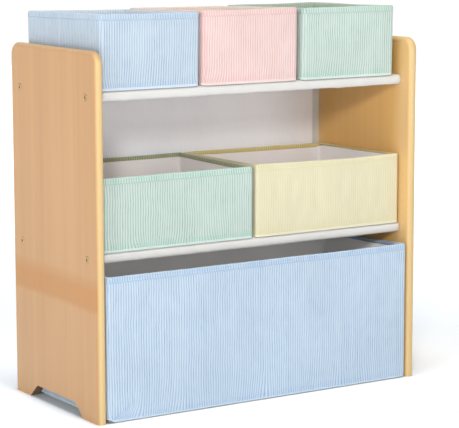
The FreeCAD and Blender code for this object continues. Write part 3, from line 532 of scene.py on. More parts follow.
def make_stage():
    """White sweep: bright behind the unit, dimmer in front, a large low light each side of the camera."""
    world = bpy.data.worlds.new("studio")
    SCENE.world = world
    world.use_nodes = True
    tree = world.node_tree
    bg = tree.nodes["Background"]
    bg.inputs["Color"].default_value = (1.0, 1.0, 1.0, 1)
    where = tree.nodes.new("ShaderNodeTexCoord")
    split = tree.nodes.new("ShaderNodeSeparateXYZ")
    tree.links.new(where.outputs["Generated"], split.inputs[0])
    rise = tree.nodes.new("ShaderNodeMapRange")
    rise.interpolation_type = "SMOOTHSTEP"
    tree.links.new(split.outputs["Y"], rise.inputs["Value"])
    for i, v in zip((1, 2, 3, 4), (0.30, 0.72, WORLD_FRONT, WORLD_BACK)):
        rise.inputs[i].default_value = v
    tree.links.new(rise.outputs["Result"], bg.inputs["Strength"])
    for name, azimuth, elevation, size, power, colour in LIGHTS:
        area_light(name, azimuth, elevation, size, power, colour)
    # floor: a flat disc that grows brighter with distance, so that it melts into the white
    rings = [0.0, 0.4, 0.8, 1.2, 1.6, 2.0, 2.6, 3.4, 4.4, 5.6, 7.0]
    spokes = 64
    ang = np.arange(spokes) * 2 * np.pi / spokes
    v = [(0.0, 0.0, 0.0)]
    for r in rings[1:]:
        v += [(r * math.cos(t), r * math.sin(t), 0.0) for t in ang]
    tris = [(0, 1 + k, 1 + (k + 1) % spokes) for k in range(spokes)]
    quads = []
    for i in range(len(rings) - 2):
        for k in range(spokes):
            k2 = (k + 1) % spokes
            quads.append((1 + i * spokes + k, 1 + (i + 1) * spokes + k, 1 + (i + 1) * spokes + k2, 1 + i * spokes + k2))
    floor = make_mesh("floor", v, quads, None, tris)
    m = Mat("floor_paper", roughness=0.9, Specular_IOR_Level=0.1)
    cloud = m.noise((2, 2, 2), 1.0, 2.0, 0.5)
    far = m.node("ShaderNodeVectorMath", operation="LENGTH")
    m.link(m.coords(), far.inputs[0])
    glow = m.map(far.outputs["Value"], 0.5, 3.2, FLOOR_GLOW, 1.0)
    # no glow right under the unit
    place = m.node("ShaderNodeSeparateXYZ")
    m.link(m.coords(), place.inputs[0])
    out_x = m.math("SUBTRACT", m.math("ABSOLUTE", place.outputs["X"]), 0.309)
    out_y = m.math("SUBTRACT", m.math("ABSOLUTE", place.outputs["Y"]), 0.143)
    out = m.math("MAXIMUM", out_x, out_y)
    open_ = m.map(out, 0.0, 0.006, 0.0, 1.0)
    # the sweep is brighter close to the left side and behind the right one
    left = m.map(place.outputs["X"], -0.328, -0.309, FLOOR_LEFT, 0.0)
    left = m.math("MULTIPLY", left, m.map(far.outputs["Value"], 0.55, 1.3, 1.0, 0.0))
    rear = m.math("MULTIPLY", m.map(place.outputs["Y"], 0.14, 0.42, 0.0, 0.10), m.map(place.outputs["X"], 0.28, 0.50, 0.0, 1.0))
    glow = m.math("ADD", m.math("ADD", glow, left), rear)
    # the floor keeps a grey contact shade under the unit
    paper = m.ramp(cloud, [(0.3, (0.93, 0.93, 0.93)), (0.7, (0.95, 0.95, 0.95))])
    m.color(m.mix(m.map(out, -0.004, 0.001, 0.0, 1.0), (0.57, 0.62, 0.66, 1), paper))
    # the glow near the unit is a little cooler, against the warm bounce of the panels
    m.link(m.mix(m.map(far.outputs["Value"], 0.5, 1.8, 0.0, 1.0), (0.62, 0.82, 1.0, 1), (1, 1, 1, 1)), m.bsdf.inputs["Emission Color"])
    m.link(m.math("MULTIPLY", glow, open_), m.bsdf.inputs["Emission Strength"])
    give(floor, m.m)
    SCENE.view_settings.view_transform = "Standard"
    SCENE.view_settings.look = "None"
    SCENE.view_settings.exposure = 0.0
    SCENE.view_settings.gamma = 1.0


WORLD_FRONT, WORLD_BACK, FLOOR_GLOW, FLOOR_LEFT = 0.11, 1.02, 0.19, 0.26
# name, azimuth, elevation (degrees), size (m), power (W), colour
LIGHTS = [
    ("key", -36, 18.9, 0.45, 44.4, (1.0, 0.99, 0.975)),
    ("key_left", -60, 12.0, 0.45, 14.7, (1.0, 0.99, 0.975)),
    ("high_left", -60, 45, 1.4, 7.4, (1, 1, 1)),
    ("left", -80, 8, 1.4, 15.2, (1, 1, 1)),
    ("front", -8, 8, 1.4, 17.6, (1, 1, 1)),
    ("right", 20, 8, 1.4, 17.9, (1, 1, 1)),
    ("top", 0, 80, 1.4, 72.0, (1, 1, 1)),
]
SCENE.cycles.max_bounces = 16
SCENE.cycles.diffuse_bounces = 10
make_camera()
make_stage()

# =====================================================================
# fabric bins
# =====================================================================
PITCH = 4.58 * MM
PER_RIB = 6
WALL_IN = -3.6 * MM      # inner face of the wall boards, from the outer face
LIP = -4.6 * MM          # inner face of the folded hem


def rib_profile(phase):
    """Height 0 to 1 of a round wale with a narrow valley."""
    return np.sqrt(np.abs(np.cos(np.pi * phase)))


def stitches(name, line_points, normals, tangents, length, radius):
    """A run of separate thread stitches along a line."""
    n = len(line_points)
    ts = np.array([-1.0, -0.72, 0.0, 0.72, 1.0])
    rad = np.array([0.0, 0.75, 1.0, 0.75, 0.0])
    sides = 6
    verts, quads, tris = [], [], []
    ring = np.arange(sides) * 2 * np.pi / sides
    up = normals
    side = np.cross(tangents, normals)
    per = 2 + 3 * sides
    block = np.zeros((n, per, 3))
    block[:, 0] = line_points - tangents * (length / 2)
    block[:, 1] = line_points + tangents * (length / 2)
    for k in range(3):
        t, r = ts[k + 1], rad[k + 1]
        lift = radius * 0.55 * (1 - t * t)
        for j in range(sides):
            block[:, 2 + k * sides + j] = (line_points + tangents * (t * length / 2)
                                           + up * (lift + radius * r * np.cos(ring[j]))
                                           + side * (radius * r * np.sin(ring[j])))
    base = (np.arange(n) * per)[:, None]
    for j in range(sides):
        k = (j + 1) % sides
        for lvl in range(2):
            q = np.array([[2 + lvl * sides + j, 2 + lvl * sides + k, 2 + (lvl + 1) * sides + k, 2 + (lvl + 1) * sides + j]])
            quads.append(base + q)
        tris.append(base + np.array([[0, 2 + k, 2 + j]]))
        tris.append(base + np.array([[1, 2 + 2 * sides + j, 2 + 2 * sides + k]]))
    return block.reshape(-1, 3), np.concatenate(quads), np.concatenate(tris)


def stitch_ring(ring, offset, z, lift, step, length, radius, outward=True):
    """Stitch centres, normals and tangents round a bin; z is one height or one per column."""
    count = int(ring.length / step)
    idx = (np.arange(count) * len(ring.s) / count).astype(int)
    x, y, nx, ny = ring.at(offset, lift)
    z = np.broadcast_to(np.asarray(z, float), x.shape)
    sign = 1.0 if outward else -1.0
    pts = np.stack([x[idx], y[idx], z[idx]], 1)
    nor = np.stack([nx[idx], ny[idx], np.zeros(count)], 1) * sign
    tan = np.stack([-ny[idx], nx[idx], np.zeros(count)], 1)
    return stitches("", pts, nor, tan, length, radius)


def join_parts(parts):
    verts, quads, tris, first = [], [], [], 0
    for v, q, t in parts:
        verts.append(v)
        quads.append(q + first)
        if t is not None:
            tris.append(t + first)
        first += len(v)
    return np.concatenate(verts), np.concatenate(quads), (np.concatenate(tris) if tris else None)


class Soft:
    """What makes one bin limp: corner radius, heights of its rim, depth of the turned-in hem."""

    def __init__(self, bin_name, corner, corners, dips, lips, tilt, pulls, drawn, hems, crumple, clear, side_lift, rib_gain):
        self.lo, self.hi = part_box(bin_name + "_cover")
        self.corner, self.corners, self.dips, self.lips, self.tilt = corner * MM, corners, dips, lips, tilt
        self.pulls, self.drawn = pulls, drawn * MM
        self.hems, self.crumple, self.clear, self.side_lift, self.rib_gain = hems, crumple * MM, clear, side_lift * MM, rib_gain
        self.w, self.d, self.h = self.hi.x - self.lo.x, self.hi.y - self.lo.y, self.hi.z - self.lo.z

    def settle(self, points):
        """Lower or raise the rim: a blend of its four corners and a dip along each side."""
        p = np.array(points, float)
        u = np.clip((p[:, 0] - self.lo.x) / self.w, 0, 1)
        v = np.clip((p[:, 1] - self.lo.y) / self.d, 0, 1)
        fl, fr, br, bl = self.corners
        f, r, b, l = self.dips
        level = (1 - v) * ((1 - u) * fl + u * fr) + v * ((1 - u) * bl + u * br)
        level = level - 4 * u * (1 - u) * ((1 - v) * f + v * b) - 4 * v * (1 - v) * (u * r + (1 - u) * l)
        up = (p[:, 2] - self.lo.z) / self.h
        p[:, 2] += level * MM * smooth(up, 0.25, 0.90)
        # the bottom edge of the left wall is rolled upwards
        p[:, 2] += self.side_lift * (1 - smooth(p[:, 0] - self.lo.x, 0.0, 15 * MM)) * (1 - smooth(points[:, 2] - self.lo.z, 2 * MM, 20 * MM))
        right_front, right_back, left_front, left_back = self.pulls
        p[:, 0] -= MM * u * ((1 - v) * right_front + v * right_back)
        p[:, 0] += MM * (1 - u) * ((1 - v) * left_front + v * left_back)
        p[:, 0] += self.tilt[0] * MM * np.clip(up, 0, 1)
        p[:, 1] += (self.tilt[1] + self.tilt[2] * (2 * v - 1)) * MM * np.clip(up, 0, 1)
        return p

    def lip(self, ring):
        """Depth of the turned-in hem at each column, in millimetres."""
        f, r, b, l = self.lips
        value = np.array([f, (f + r) / 2, r, (r + b) / 2, b, (b + l) / 2, l, (l + f) / 2])[ring.seg]
        half = max(1, int(0.012 / (ring.length / len(ring.s))))
        kernel = np.ones(2 * half + 1) / (2 * half + 1)
        wide = np.concatenate([value[-half:], value, value[:half]])
        return np.convolve(wide, kernel, "valid")


def build_cover(bin_name, colour, seed, bulge, soft):
    """Ribbed fabric wall: a closed sweep of the wall's section round the bin."""
    node = bin_name + "_cover"
    lo, hi, w, d, h = soft.lo, soft.hi, soft.w, soft.d, soft.h
    cx, cy, z0 = (lo.x + hi.x) / 2, (lo.y + hi.y) / 2, lo.z
    probe = Ring(cx, cy, w / 2, d / 2, soft.corner, 8)
    ribs = int(round(probe.length / PITCH))
    cols = ribs * PER_RIB
    ring = Ring(cx, cy, w / 2, d / 2, soft.corner, cols)
    hem = 9.6 * MM
    low_band = 9.4 * MM
    top = h / MM
    # section: (offset, height, rib share, kind), from the bottom edge up the outside, over and down inside
    section = [(-1.0, 0.14, 0.0, "bead"), (-0.8, -0.16, 0.0, "bead"), (-0.2, -0.25, 0.0, "bead"), (0.10, -0.05, 0.1, "bead"),
               (0.26, 0.6, 0.2, "bead"), (0.30, 1.5, 0.25, "bead"), (0.24, 2.5, 0.25, "bead"), (0.02, 3.1, 0.25, "bead"), (-0.10, 3.5, 0.35, "wall")]
    if soft.clear:
        section = [(-2.8, 1.05, 0.0, "bead"), (-1.8, 1.08, 0.0, "bead"), (-0.9, 1.12, 0.0, "bead"), (-0.3, 1.22, 0.0, "bead"), (0.10, 1.48, 0.1, "bead"),
                   (0.28, 1.9, 0.2, "bead"), (0.32, 2.4, 0.25, "bead"), (0.24, 3.0, 0.25, "bead"), (0.02, 3.4, 0.25, "bead"), (-0.10, 3.75, 0.35, "wall")]
    zs = [4.1, 5.0, 6.4, 7.8, 8.8, 9.4, 10.0, 11.0, 13.0, 16.0, 20.0, 25.0]
    count = max(8, int((top - 44) / (7.5 if top < 200 else 9.5)))
    zs += list(np.linspace(31, top - 17, count))
    zs += [top - 12.8, top - 11.2, top - 10.2, top - 9.6, top - 9.0, top - 8.2, top - 6.6, top - 4.6, top - 3.2]
    section += [(0.0, z, 1.0, "wall") for z in zs]
    for i in range(0, 8):
        a = math.pi * i / 7
        section.append((-2.3 + 2.3 * math.cos(a), top - 2.3 + 2.3 * math.sin(a), 0.85, "fold"))
    # the turned-in part is given as a share of its depth
    section += [(-4.6, s, 0.8, "lip") for s in (0.42, 0.62, 0.80, 0.90, 0.96)]
    section += [(-4.35, 1.0, 0.4, "tuck"), (-3.72, 0.99, 0.0, "tuck"),
                (-3.64, top - 1.16, 0.0, "hid"), (-1.06, top - 1.16, 0.0, "hid"), (-1.04, top * 0.5, 0.0, "hid")]
    if soft.clear:
        section.append((-1.04, 1.06, 0.0, "hid"))
    s = ring.s
    lip = soft.lip(ring)
    wob = waves(seed, 9, 0.30, 0.05)
    lean = waves(seed + 11, 7, 0.22, 0.05)
    foot = waves(seed + 17, 7, 0.16, 0.04)
    sag = waves(seed + 23, 6, 0.45, 0.09)
    rib_i = np.arange(cols) / PER_RIB
    rng = np.random.default_rng(seed + 5)
    per_rib = rng.uniform(0.93, 1.04, ribs)[np.round(rib_i).astype(int) % ribs]
    # panel-wise bulge: zero at corners, largest in the middle of each side
    limit = {0: bulge[0], 2: bulge[1], 4: bulge[2], 6: bulge[3]}
    amount = np.array([limit.get(int(k), 0.0) for k in ring.seg])
    t_side = np.where(np.isin(ring.seg, [0, 2, 4, 6]), ring.t, 0.0)
    belly = np.sin(np.pi * t_side) ** 0.7 * amount * MM
    crease = waves(seed + 31, 10, 0.11, 0.022)
    side_hem = np.where(np.isin(ring.seg, [5, 6]), 0.35, 1.0)
    # a pressed upright fold in the middle of the left wall
    pressed = bump_at(ring.t, 0.47, 0.010) * (ring.seg == 6) * (1.0 if bin_name == "top_left_bin" else 0.0)
    # distance along the front from its left corner
    along = np.where(ring.seg == 0, (ring.t * (w - 2 * soft.corner) + soft.corner * 0.8), 9.0)
    verts, rib_a, hem_a, piping_and_highlight_a, in_a = [], [], [], [], []
    at_corner = np.clip(1.0 - (ring.corner_distance - soft.corner * 0.6) / (1.6 * MM), 0, 1)
    seam = bump_at(ring.corner_distance, soft.corner * 0.79 + 2.0 * MM, 0.7 * MM) * np.isin(ring.seg, [2, 6])
    raise_ = bump_at(ring.corner_distance, 0.0, soft.corner * 0.9 + 1.5 * MM)
    for off, z_mm, share, kind in section:
        inside = kind in ("lip", "tuck")
        depth = lip * z_mm if inside else 0.0
        zc = (h - depth * MM) if inside else np.full(cols, z_mm * MM)
        z = 0.0 if inside else z_mm * MM
        up = z / h
        bend = 0.75 * foot(s, s * 0) * np.clip(1 - zc / (0.30 * h), 0, 1) ** 2
        top_band = np.ones(cols) if kind == "fold" or inside else smooth(zc, h - hem - 0.6 * MM, h - hem + 0.6 * MM)
        phase = s / ring.length * ribs + 0.10 * lean(s, zc) + 0.06 * wob(s * 2.3, zc * 3) + bend * (0 if inside else 1) + 0.45 * top_band
        gather = np.zeros(cols)
        if soft.clear and kind in ("wall", "bead"):
            # the left front corner is gathered: ribs under a slanting crease lean towards it
            line = 0.66 * along
            near_ = (1 - smooth(along, 0.036, 0.066)) * (along < 1)
            phase = phase + 3.2 * np.clip(1 - zc / np.maximum(line, 1e-4), 0, 1) * near_ * smooth(along, 0.0, 0.012)
            gather = bump_at(zc - line, 0.0, 1.7 * MM) * near_ * smooth(along, 0.002, 0.008)
        rib = rib_profile(phase) * per_rib
        low = 1 - smooth(zc, low_band - 0.6 * MM, low_band + 0.6 * MM) if kind == "wall" else np.zeros(cols)
        pinch = np.zeros(cols)
        if kind == "wall":
            pinch = np.maximum(bump_at(zc, h - 9.0 * MM, 0.75 * MM), 0.15 * bump_at(zc, low_band, 0.75 * MM))
        elif kind == "lip":
            pinch = bump_at(depth, lip - 1.0, 0.5)
        height = 0.82 * MM * soft.rib_gain * share * rib * (1 - 0.6 * pinch) * (1 - 0.12 * top_band) * (1 - 0.10 * low) * (1 - 0.55 * seam) * (1 - 0.45 * at_corner)
        lift = np.zeros(cols)
        if kind in ("wall", "bead"):
            lift = height + 0.16 * MM * (1 - pinch) * top_band + 0.14 * MM * low * (1 - pinch)
            lift = lift + belly * math.sin(math.pi * min(1, max(0, up))) ** 0.8
            lift = lift + 0.12 * MM * (1 + wob(s, zc)) * smooth(up, 0, 0.12) * (1 - 0.6 * smooth(up, 0.86, 1.0)) - 0.25 * MM * seam
            lift = lift + soft.crumple * crease(s, zc * 1.3) * smooth(up, 0.04, 0.22) * (1 - 0.8 * smooth(up, 0.80, 0.95)) * smooth(ring.corner_distance, 0.004, 0.03)
            lift = lift - 0.9 * MM * gather + 0.5 * MM * pressed
        elif kind == "lip":
            lift = -height
        x, y, nx, ny = ring.at(off * MM, lift)
        zz = zc.copy()
        if kind == "fold":
            a = math.atan2(z_mm - (top - 2.3), off + 2.3)
            along = height * 0.9
            x, y, nx, ny = ring.at(off * MM, along * math.cos(a))
            zz = zz + along * math.sin(a)
        rim = smooth(zc, h - 14 * MM, h)
        zz = zz + rim * (0.35 * MM * sag(s, zc * 0) - 0.25 * MM)
        # the foot of each corner is drawn up a little by its seam
        zz = zz + soft.drawn * raise_ * (1 - smooth(zc, 0.0, 16 * MM)) * (0 if inside else 1)
        verts.append(np.stack([x, y, z0 + zz], 1))
        hidden = kind in ("tuck", "hid")
        rib_a.append(np.clip(rib * (1 - 0.35 * pinch) * (1 - 0.25 * at_corner) + 0.15 * at_corner, 0, 1) * (0 if hidden else 1))
        band = np.zeros(cols)
        if kind == "wall":
            band = (0.55 + 0.45 * smooth(zc, h - 9 * MM, h - 5 * MM)) * smooth(zc, h - hem - 2.0 * MM, h - hem + 1.5 * MM)
            band = band * soft.hems[0]
            band = np.maximum(band, soft.hems[1] * (1 - smooth(zc, 5 * MM, 19 * MM)))
        elif kind == "fold":
            band = np.full(cols, min(1.0, soft.hems[0] + 0.15))
        band = band * (0.80 + 0.26 * np.clip(wob(s * 3, zc), -1, 1)) * side_hem + soft.hems[2] * at_corner * (1 if kind == "wall" else 0)
        # the slanting crease takes the darker hem colour: painted shade in the crease
        band = np.maximum(band, 0.9 * gather)
        hem_a.append(np.clip(band, 0, 1))
        piping_and_highlight = np.zeros(cols)
        if kind == "bead" or (kind == "wall" and z_mm < 4):
            piping_and_highlight = piping_and_highlight + 0.9
        # painted highlight: the crown of the rim fold is paler where it faces up, most along the front
        if kind == "fold":
            piping_and_highlight = piping_and_highlight + np.where(ring.seg == 0, 0.85, 0.25) * np.clip(math.sin(math.atan2(z_mm - (top - 2.3), off + 2.3)), 0, 1) ** 2 * (0.7 + 0.3 * rib)
        if kind == "wall":
            # painted highlights on the ridge just above the hem stitches and on the pressed fold
            piping_and_highlight = piping_and_highlight + 0.35 * bump_at(zc, h - 8.0 * MM, 0.7 * MM) * rib
            piping_and_highlight = piping_and_highlight + 0.45 * pressed
        piping_and_highlight_a.append(np.clip(piping_and_highlight, 0, 1))
        a = math.atan2(z_mm - (top - 2.3), off + 2.3) if kind == "fold" else 0.0
        front = np.where(ring.seg == 0, 1.0, 0.0)
        turned = front * smooth(a, 0.60 * math.pi, 0.85 * math.pi) + (1 - front) * smooth(a, 0.18 * math.pi, 0.55 * math.pi)
        in_a.append(np.ones(cols) if inside or kind == "hid" else (turned if kind == "fold" else np.zeros(cols)))
    v = soft.settle(np.concatenate(verts))
    ob = make_mesh(bin_name + "_cover_fabric", v, wrap_quads(len(section), cols),
                   {"rib": np.concatenate(rib_a), "hem": np.concatenate(hem_a), "piping_and_highlight": np.concatenate(piping_and_highlight_a), "inner": np.concatenate(in_a)})
    give(ob, CORD[bin_name])
    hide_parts(node)
    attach(ob, bin_name)
    # hem stitches outside and inside
    step, length, radius = 3.7 * MM, 2.6 * MM, 0.20 * MM
    parts = [stitch_ring(ring, 0.0, z0 + h - 9.0 * MM, 0.50 * MM, step, length, radius),
             stitch_ring(ring, -4.6 * MM, z0 + h - (lip - 1.0) * MM, -0.42 * MM, step, length, radius, False)]
    v2, q2, t2 = join_parts(parts)
    st = make_mesh(bin_name + "_stitching", soft.settle(v2), q2, None, t2)
    give(st, THREAD[colour])
    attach(st, bin_name)


def build_boards(bin_name, soft):
    """Four stiff boards between cover and lining, with eased edges; they follow the rim."""
    lo, hi = soft.lo, soft.hi
    cx, cy = (lo.x + hi.x) / 2, (lo.y + hi.y) / 2
    low, high = lo.z + 1.15 * MM, hi.z - 1.40 * MM
    mid_z, half_z = (low + high) / 2, (high - low) / 2
    stop = soft.corner - 1.0 * MM
    parts = []
    for along_x, sign in ((True, -1), (True, 1), (False, -1), (False, 1)):
        half = (soft.w / 2 if along_x else soft.d / 2) - 1.2 * MM - stop
        face = (soft.d / 2 if along_x else soft.w / 2) - 1.12 * MM
        v, q, _ = grid_slab(0.0, 0.0, half, half_z, -1.2 * MM, 1.2 * MM, 0.8 * MM, max(12, int(half / (6 * MM))), 22, None, None, 2.0 * MM)
        depth = sign * (face - 1.2 * MM)
        if along_x:
            p = np.stack([cx + v[:, 0], cy + depth + v[:, 2], mid_z + v[:, 1]], 1)
        else:
            p = np.stack([cx + depth + v[:, 2], cy + v[:, 0], mid_z + v[:, 1]], 1)
        # the mapping may mirror the slab, so its faces are turned to look outwards again
        a, b, c, e = (p[q[:, k]] - p.mean(0) for k in range(4))
        volume = (np.einsum("ij,ij->i", a, np.cross(b, c)) + np.einsum("ij,ij->i", a, np.cross(c, e))).sum()
        parts.append((p, q if volume > 0 else q[:, [0, 3, 2, 1]], None))
    v, q, _ = join_parts(parts)
    ob = make_mesh(bin_name + "_boards", soft.settle(v), q)
    give(ob, FIBRE)
    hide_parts(bin_name + "_wall_boards")
    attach(ob, bin_name)


def grid_slab(cx, cy, half_x, half_y, z_low, z_high, edge, nx, ny, top_fn=None, low_fn=None, corner=2.5 * MM):
    """Slab with a soft round edge: an upper and a lower surface that meet at the rim."""
    def spread(n):
        t = np.linspace(-1, 1, n)
        return np.sign(t) * (1 - (1 - np.abs(t)) ** 1.35)
    u, v = np.meshgrid(spread(nx), spread(ny), indexing="ij")
    # round the corners in plan
    x = u * half_x
    y = v * half_y
    inx, iny = half_x - corner, half_y - corner
    ox, oy = np.clip(np.abs(x) - inx, 0, None), np.clip(np.abs(y) - iny, 0, None)
    r = np.hypot(ox, oy)
    m = np.maximum(ox, oy)
    f = np.where(r > 1e-9, m / np.maximum(r, 1e-9), 1.0)
    x = np.sign(x) * (np.minimum(np.abs(x), inx) + ox * f)
    y = np.sign(y) * (np.minimum(np.abs(y), iny) + oy * f)
    # distance from the outline
    ox, oy = np.clip(np.abs(x) - inx, 0, None), np.clip(np.abs(y) - iny, 0, None)
    inside = np.minimum(half_x - np.abs(x), half_y - np.abs(y))
    both = (ox > 0) & (oy > 0)
    inside = np.where(both, corner - np.hypot(ox, oy), inside)
    inside = np.clip(inside, 0, edge)
    round_ = np.sqrt(np.clip(1 - (1 - inside / edge) ** 2, 0, 1))
    mid, half_t = (z_low + z_high) / 2, (z_high - z_low) / 2
    zt = mid + half_t * round_
    zb = mid - half_t * round_
    if top_fn is not None:
        zt = zt + top_fn(x, y) * round_
    if low_fn is not None:
        zb = zb + low_fn(x, y) * round_
    n = nx * ny
    top = np.stack([cx + x, cy + y, zt], -1).reshape(-1, 3)
    bot = np.stack([cx + x, cy + y, zb], -1).reshape(-1, 3)
    idx = np.arange(n).reshape(nx, ny)
    border = np.zeros((nx, ny), bool)
    border[0, :] = border[-1, :] = True
    border[:, 0] = border[:, -1] = True
    low_idx = np.where(border, idx, -1)
    inner = np.argwhere(~border)
    low_idx[inner[:, 0], inner[:, 1]] = n + np.arange(len(inner))
    verts = np.concatenate([top, bot.reshape(nx, ny, 3)[~border]])
    q_top = np.stack([idx[:-1, :-1], idx[1:, :-1], idx[1:, 1:], idx[:-1, 1:]], -1)
    q_low = np.stack([low_idx[:-1, :-1], low_idx[:-1, 1:], low_idx[1:, 1:], low_idx[1:, :-1]], -1)
    # the corner faces are turned so that their diagonals start at the corner and never lie on the rim
    for q in (q_top, q_low):
        for i, j in ((-1, 0), (0, -1)):
            q[i, j] = np.roll(q[i, j], 1)
    return verts, np.concatenate([q_top.reshape(-1, 4), q_low.reshape(-1, 4)]), None


def build_lining(bin_name, seed, soft):
    """Inner bag: soft walls under the hem, and its floor."""
    node = bin_name + "_lining"
    lo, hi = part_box(node)
    w, d, h = hi.x - lo.x, hi.y - lo.y, hi.z - lo.z
    cx, cy = (lo.x + hi.x) / 2, (lo.y + hi.y) / 2
    cols = int(2 * (w + d) / (4.5 * MM))
    ring = Ring(cx, cy, w / 2, d / 2, max(1.6 * MM, soft.corner + WALL_IN), cols)
    s = ring.s
    # it reaches up to the lower edge of the turned-in hem
    tall = (soft.hi.z - lo.z - (soft.lip(ring) + 0.25) * MM) / h
    wob = waves(seed + 40, 9, 0.20, 0.03)
    fold = waves(seed + 50, 6, 0.30, 0.06)
    rows = [(0.0, 0.0)] + [(0.0, z) for z in np.linspace(0.2, 1, 4) * (h - 0.3 * MM)] + [(-0.6 * MM, h)]
    zin = np.concatenate([[0.2 * MM], np.linspace(2.0 * MM, h - 0.2 * MM, max(12, int(h / (6 * MM))))])
    rows += [("in", z) for z in zin[::-1]]
    rows += [("in2", 0.62 * MM)]
    verts = []
    for off, z in rows:
        zc = np.full(cols, z)
        if off == "in":
            slack = np.sin(np.pi * np.clip(z / h, 0, 1)) ** 0.6 * smooth(ring.corner_distance, 0, 25 * MM)
            lift = -(0.28 * MM * (1 + wob(s, zc)) + 0.25 * MM * np.clip(fold(s * 1.2, zc * 0.5), 0, 2)) * slack
            lift = np.maximum(lift, -1.3 * MM)
            x, y, nx, ny = ring.at(-0.6 * MM, lift)
        elif off == "in2":
            x, y, nx, ny = ring.at(-1.2 * MM)
            zc = zc * 0 + 0.1 * MM
        else:
            x, y, nx, ny = ring.at(off)
        verts.append(np.stack([x, y, lo.z + zc * tall], 1))
    parts = [(soft.settle(np.concatenate(verts)), wrap_quads(len(rows), cols), None)]
    ripple = waves(seed + 60, 7, 0.25, 0.06)
    parts.append(grid_slab(cx, cy, w / 2 - 1.3 * MM, d / 2 - 1.3 * MM, lo.z + 0.02 * MM, lo.z + 0.5 * MM, 0.8 * MM,
                           36, 30, lambda x, y: 0.05 * MM * ripple(x, y)))
    v, q, t = join_parts(parts)
    ob = make_mesh(bin_name + "_lining_fabric", v, q, None, t)
    give(ob, LINING[bin_name.split("_")[0]])
    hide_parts(node)
    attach(ob, bin_name)


def rect_line(cx, cy, half_x, half_y, step):
    """Evenly spaced stitch places round a rectangle, with tangents."""
    pts, tans = [], []
    corners = [(-half_x, -half_y), (half_x, -half_y), (half_x, half_y), (-half_x, half_y)]
    for i in range(4):
        (x0, y0), (x1, y1) = corners[i], corners[(i + 1) % 4]
        L = math.hypot(x1 - x0, y1 - y0)
        n = int(L / step)
        for k in range(n):
            t = (k + 0.5) / n
            pts.append((cx + x0 + (x1 - x0) * t, cy + y0 + (y1 - y0) * t))
            tans.append(((x1 - x0) / L, (y1 - y0) / L))
    return np.array(pts), np.array(tans)


def build_insert(bin_name, seed, soft):
    """Loose board covered with felt: puffed faces, a round edge and a border seam."""
    node = bin_name + "_base_insert"
    lo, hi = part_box(node)
    cx, cy = (lo.x + hi.x) / 2, (lo.y + hi.y) / 2
    hx, hy = (hi.x - lo.x) / 2, (hi.y - lo.y) / 2
    ripple = waves(seed + 70, 9, 0.16, 0.025)

    def groove(x, y):
        inside = np.minimum(hx - np.abs(x), hy - np.abs(y))
        return -0.45 * MM * bump_at(inside, 7 * MM, 1.3 * MM)

    def top(x, y):
        return 0.10 * MM * (ripple(x, y) - 1.0) + groove(x, y)

    def low(x, y):
        return -(0.05 * MM * (ripple(y, x) - 1.0) + groove(x, y) * 0.6)

    v, q, _ = grid_slab(cx, cy, hx, hy, lo.z, hi.z, 1.7 * MM, int(hx * 2 / (3.2 * MM)), int(hy * 2 / (3.2 * MM)), top, low, 3 * MM)
    ob = make_mesh(bin_name + "_insert_felt", soft.settle(v), q)
    give(ob, INSERT)
    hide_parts(node)
    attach(ob, bin_name + "_insert")
    pts, tans = rect_line(cx, cy, hx - 7 * MM, hy - 7 * MM, 3.6 * MM)
    n = len(pts)
    p = np.concatenate([pts, np.full((n, 1), hi.z - 0.52 * MM)], 1)
    t3 = np.concatenate([tans, np.zeros((n, 1))], 1)
    nor = np.tile([0, 0, 1.0], (n, 1))
    v, q, t = stitches("", p, nor, t3, 2.6 * MM, 0.22 * MM)
    st = make_mesh(bin_name + "_insert_seam", soft.settle(v), q, None, t)
    give(st, THREAD_GREY)
    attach(st, bin_name + "_insert")


def build_bottom(bin_name, seed, soft):
    """Bottom cloth, seen from below, with its seam and a faint sag."""
    node = bin_name + "_bottom"
    lo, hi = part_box(node)
    cx, cy = (lo.x + hi.x) / 2, (lo.y + hi.y) / 2
    hx, hy = (hi.x - lo.x) / 2, (hi.y - lo.y) / 2
    ripple = waves(seed + 80, 9, 0.18, 0.03)

    def groove(x, y):
        inside = np.minimum(hx - np.abs(x), hy - np.abs(y))
        return bump_at(inside, 6 * MM, 1.2 * MM)

    def low(x, y):
        return 0.10 * MM * (1 + 0.5 * ripple(x, y)) + 0.25 * MM * groove(x, y)

    v, q, _ = grid_slab(cx, cy, hx, hy, lo.z + 0.02 * MM, hi.z - 0.02 * MM, 0.5 * MM, int(hx * 2 / (4 * MM)), int(hy * 2 / (4 * MM)), None, low, 1.5 * MM)
    ob = make_mesh(bin_name + "_bottom_cloth", soft.settle(v), q)
    give(ob, BOTTOM)
    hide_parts(node)
    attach(ob, bin_name)
    pts, tans = rect_line(cx, cy, hx - 6 * MM, hy - 6 * MM, 4.2 * MM)
    n = len(pts)
    p = np.concatenate([pts, np.full((n, 1), lo.z + 0.34 * MM)], 1)
    v, q, t = stitches("", p, np.tile([0, 0, -1.0], (n, 1)), np.concatenate([tans, np.zeros((n, 1))], 1), 3.0 * MM, 0.2 * MM)
    st = make_mesh(bin_name + "_bottom_seam", soft.settle(v), q, None, t)
    give(st, THREAD_GREY)
    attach(st, bin_name)


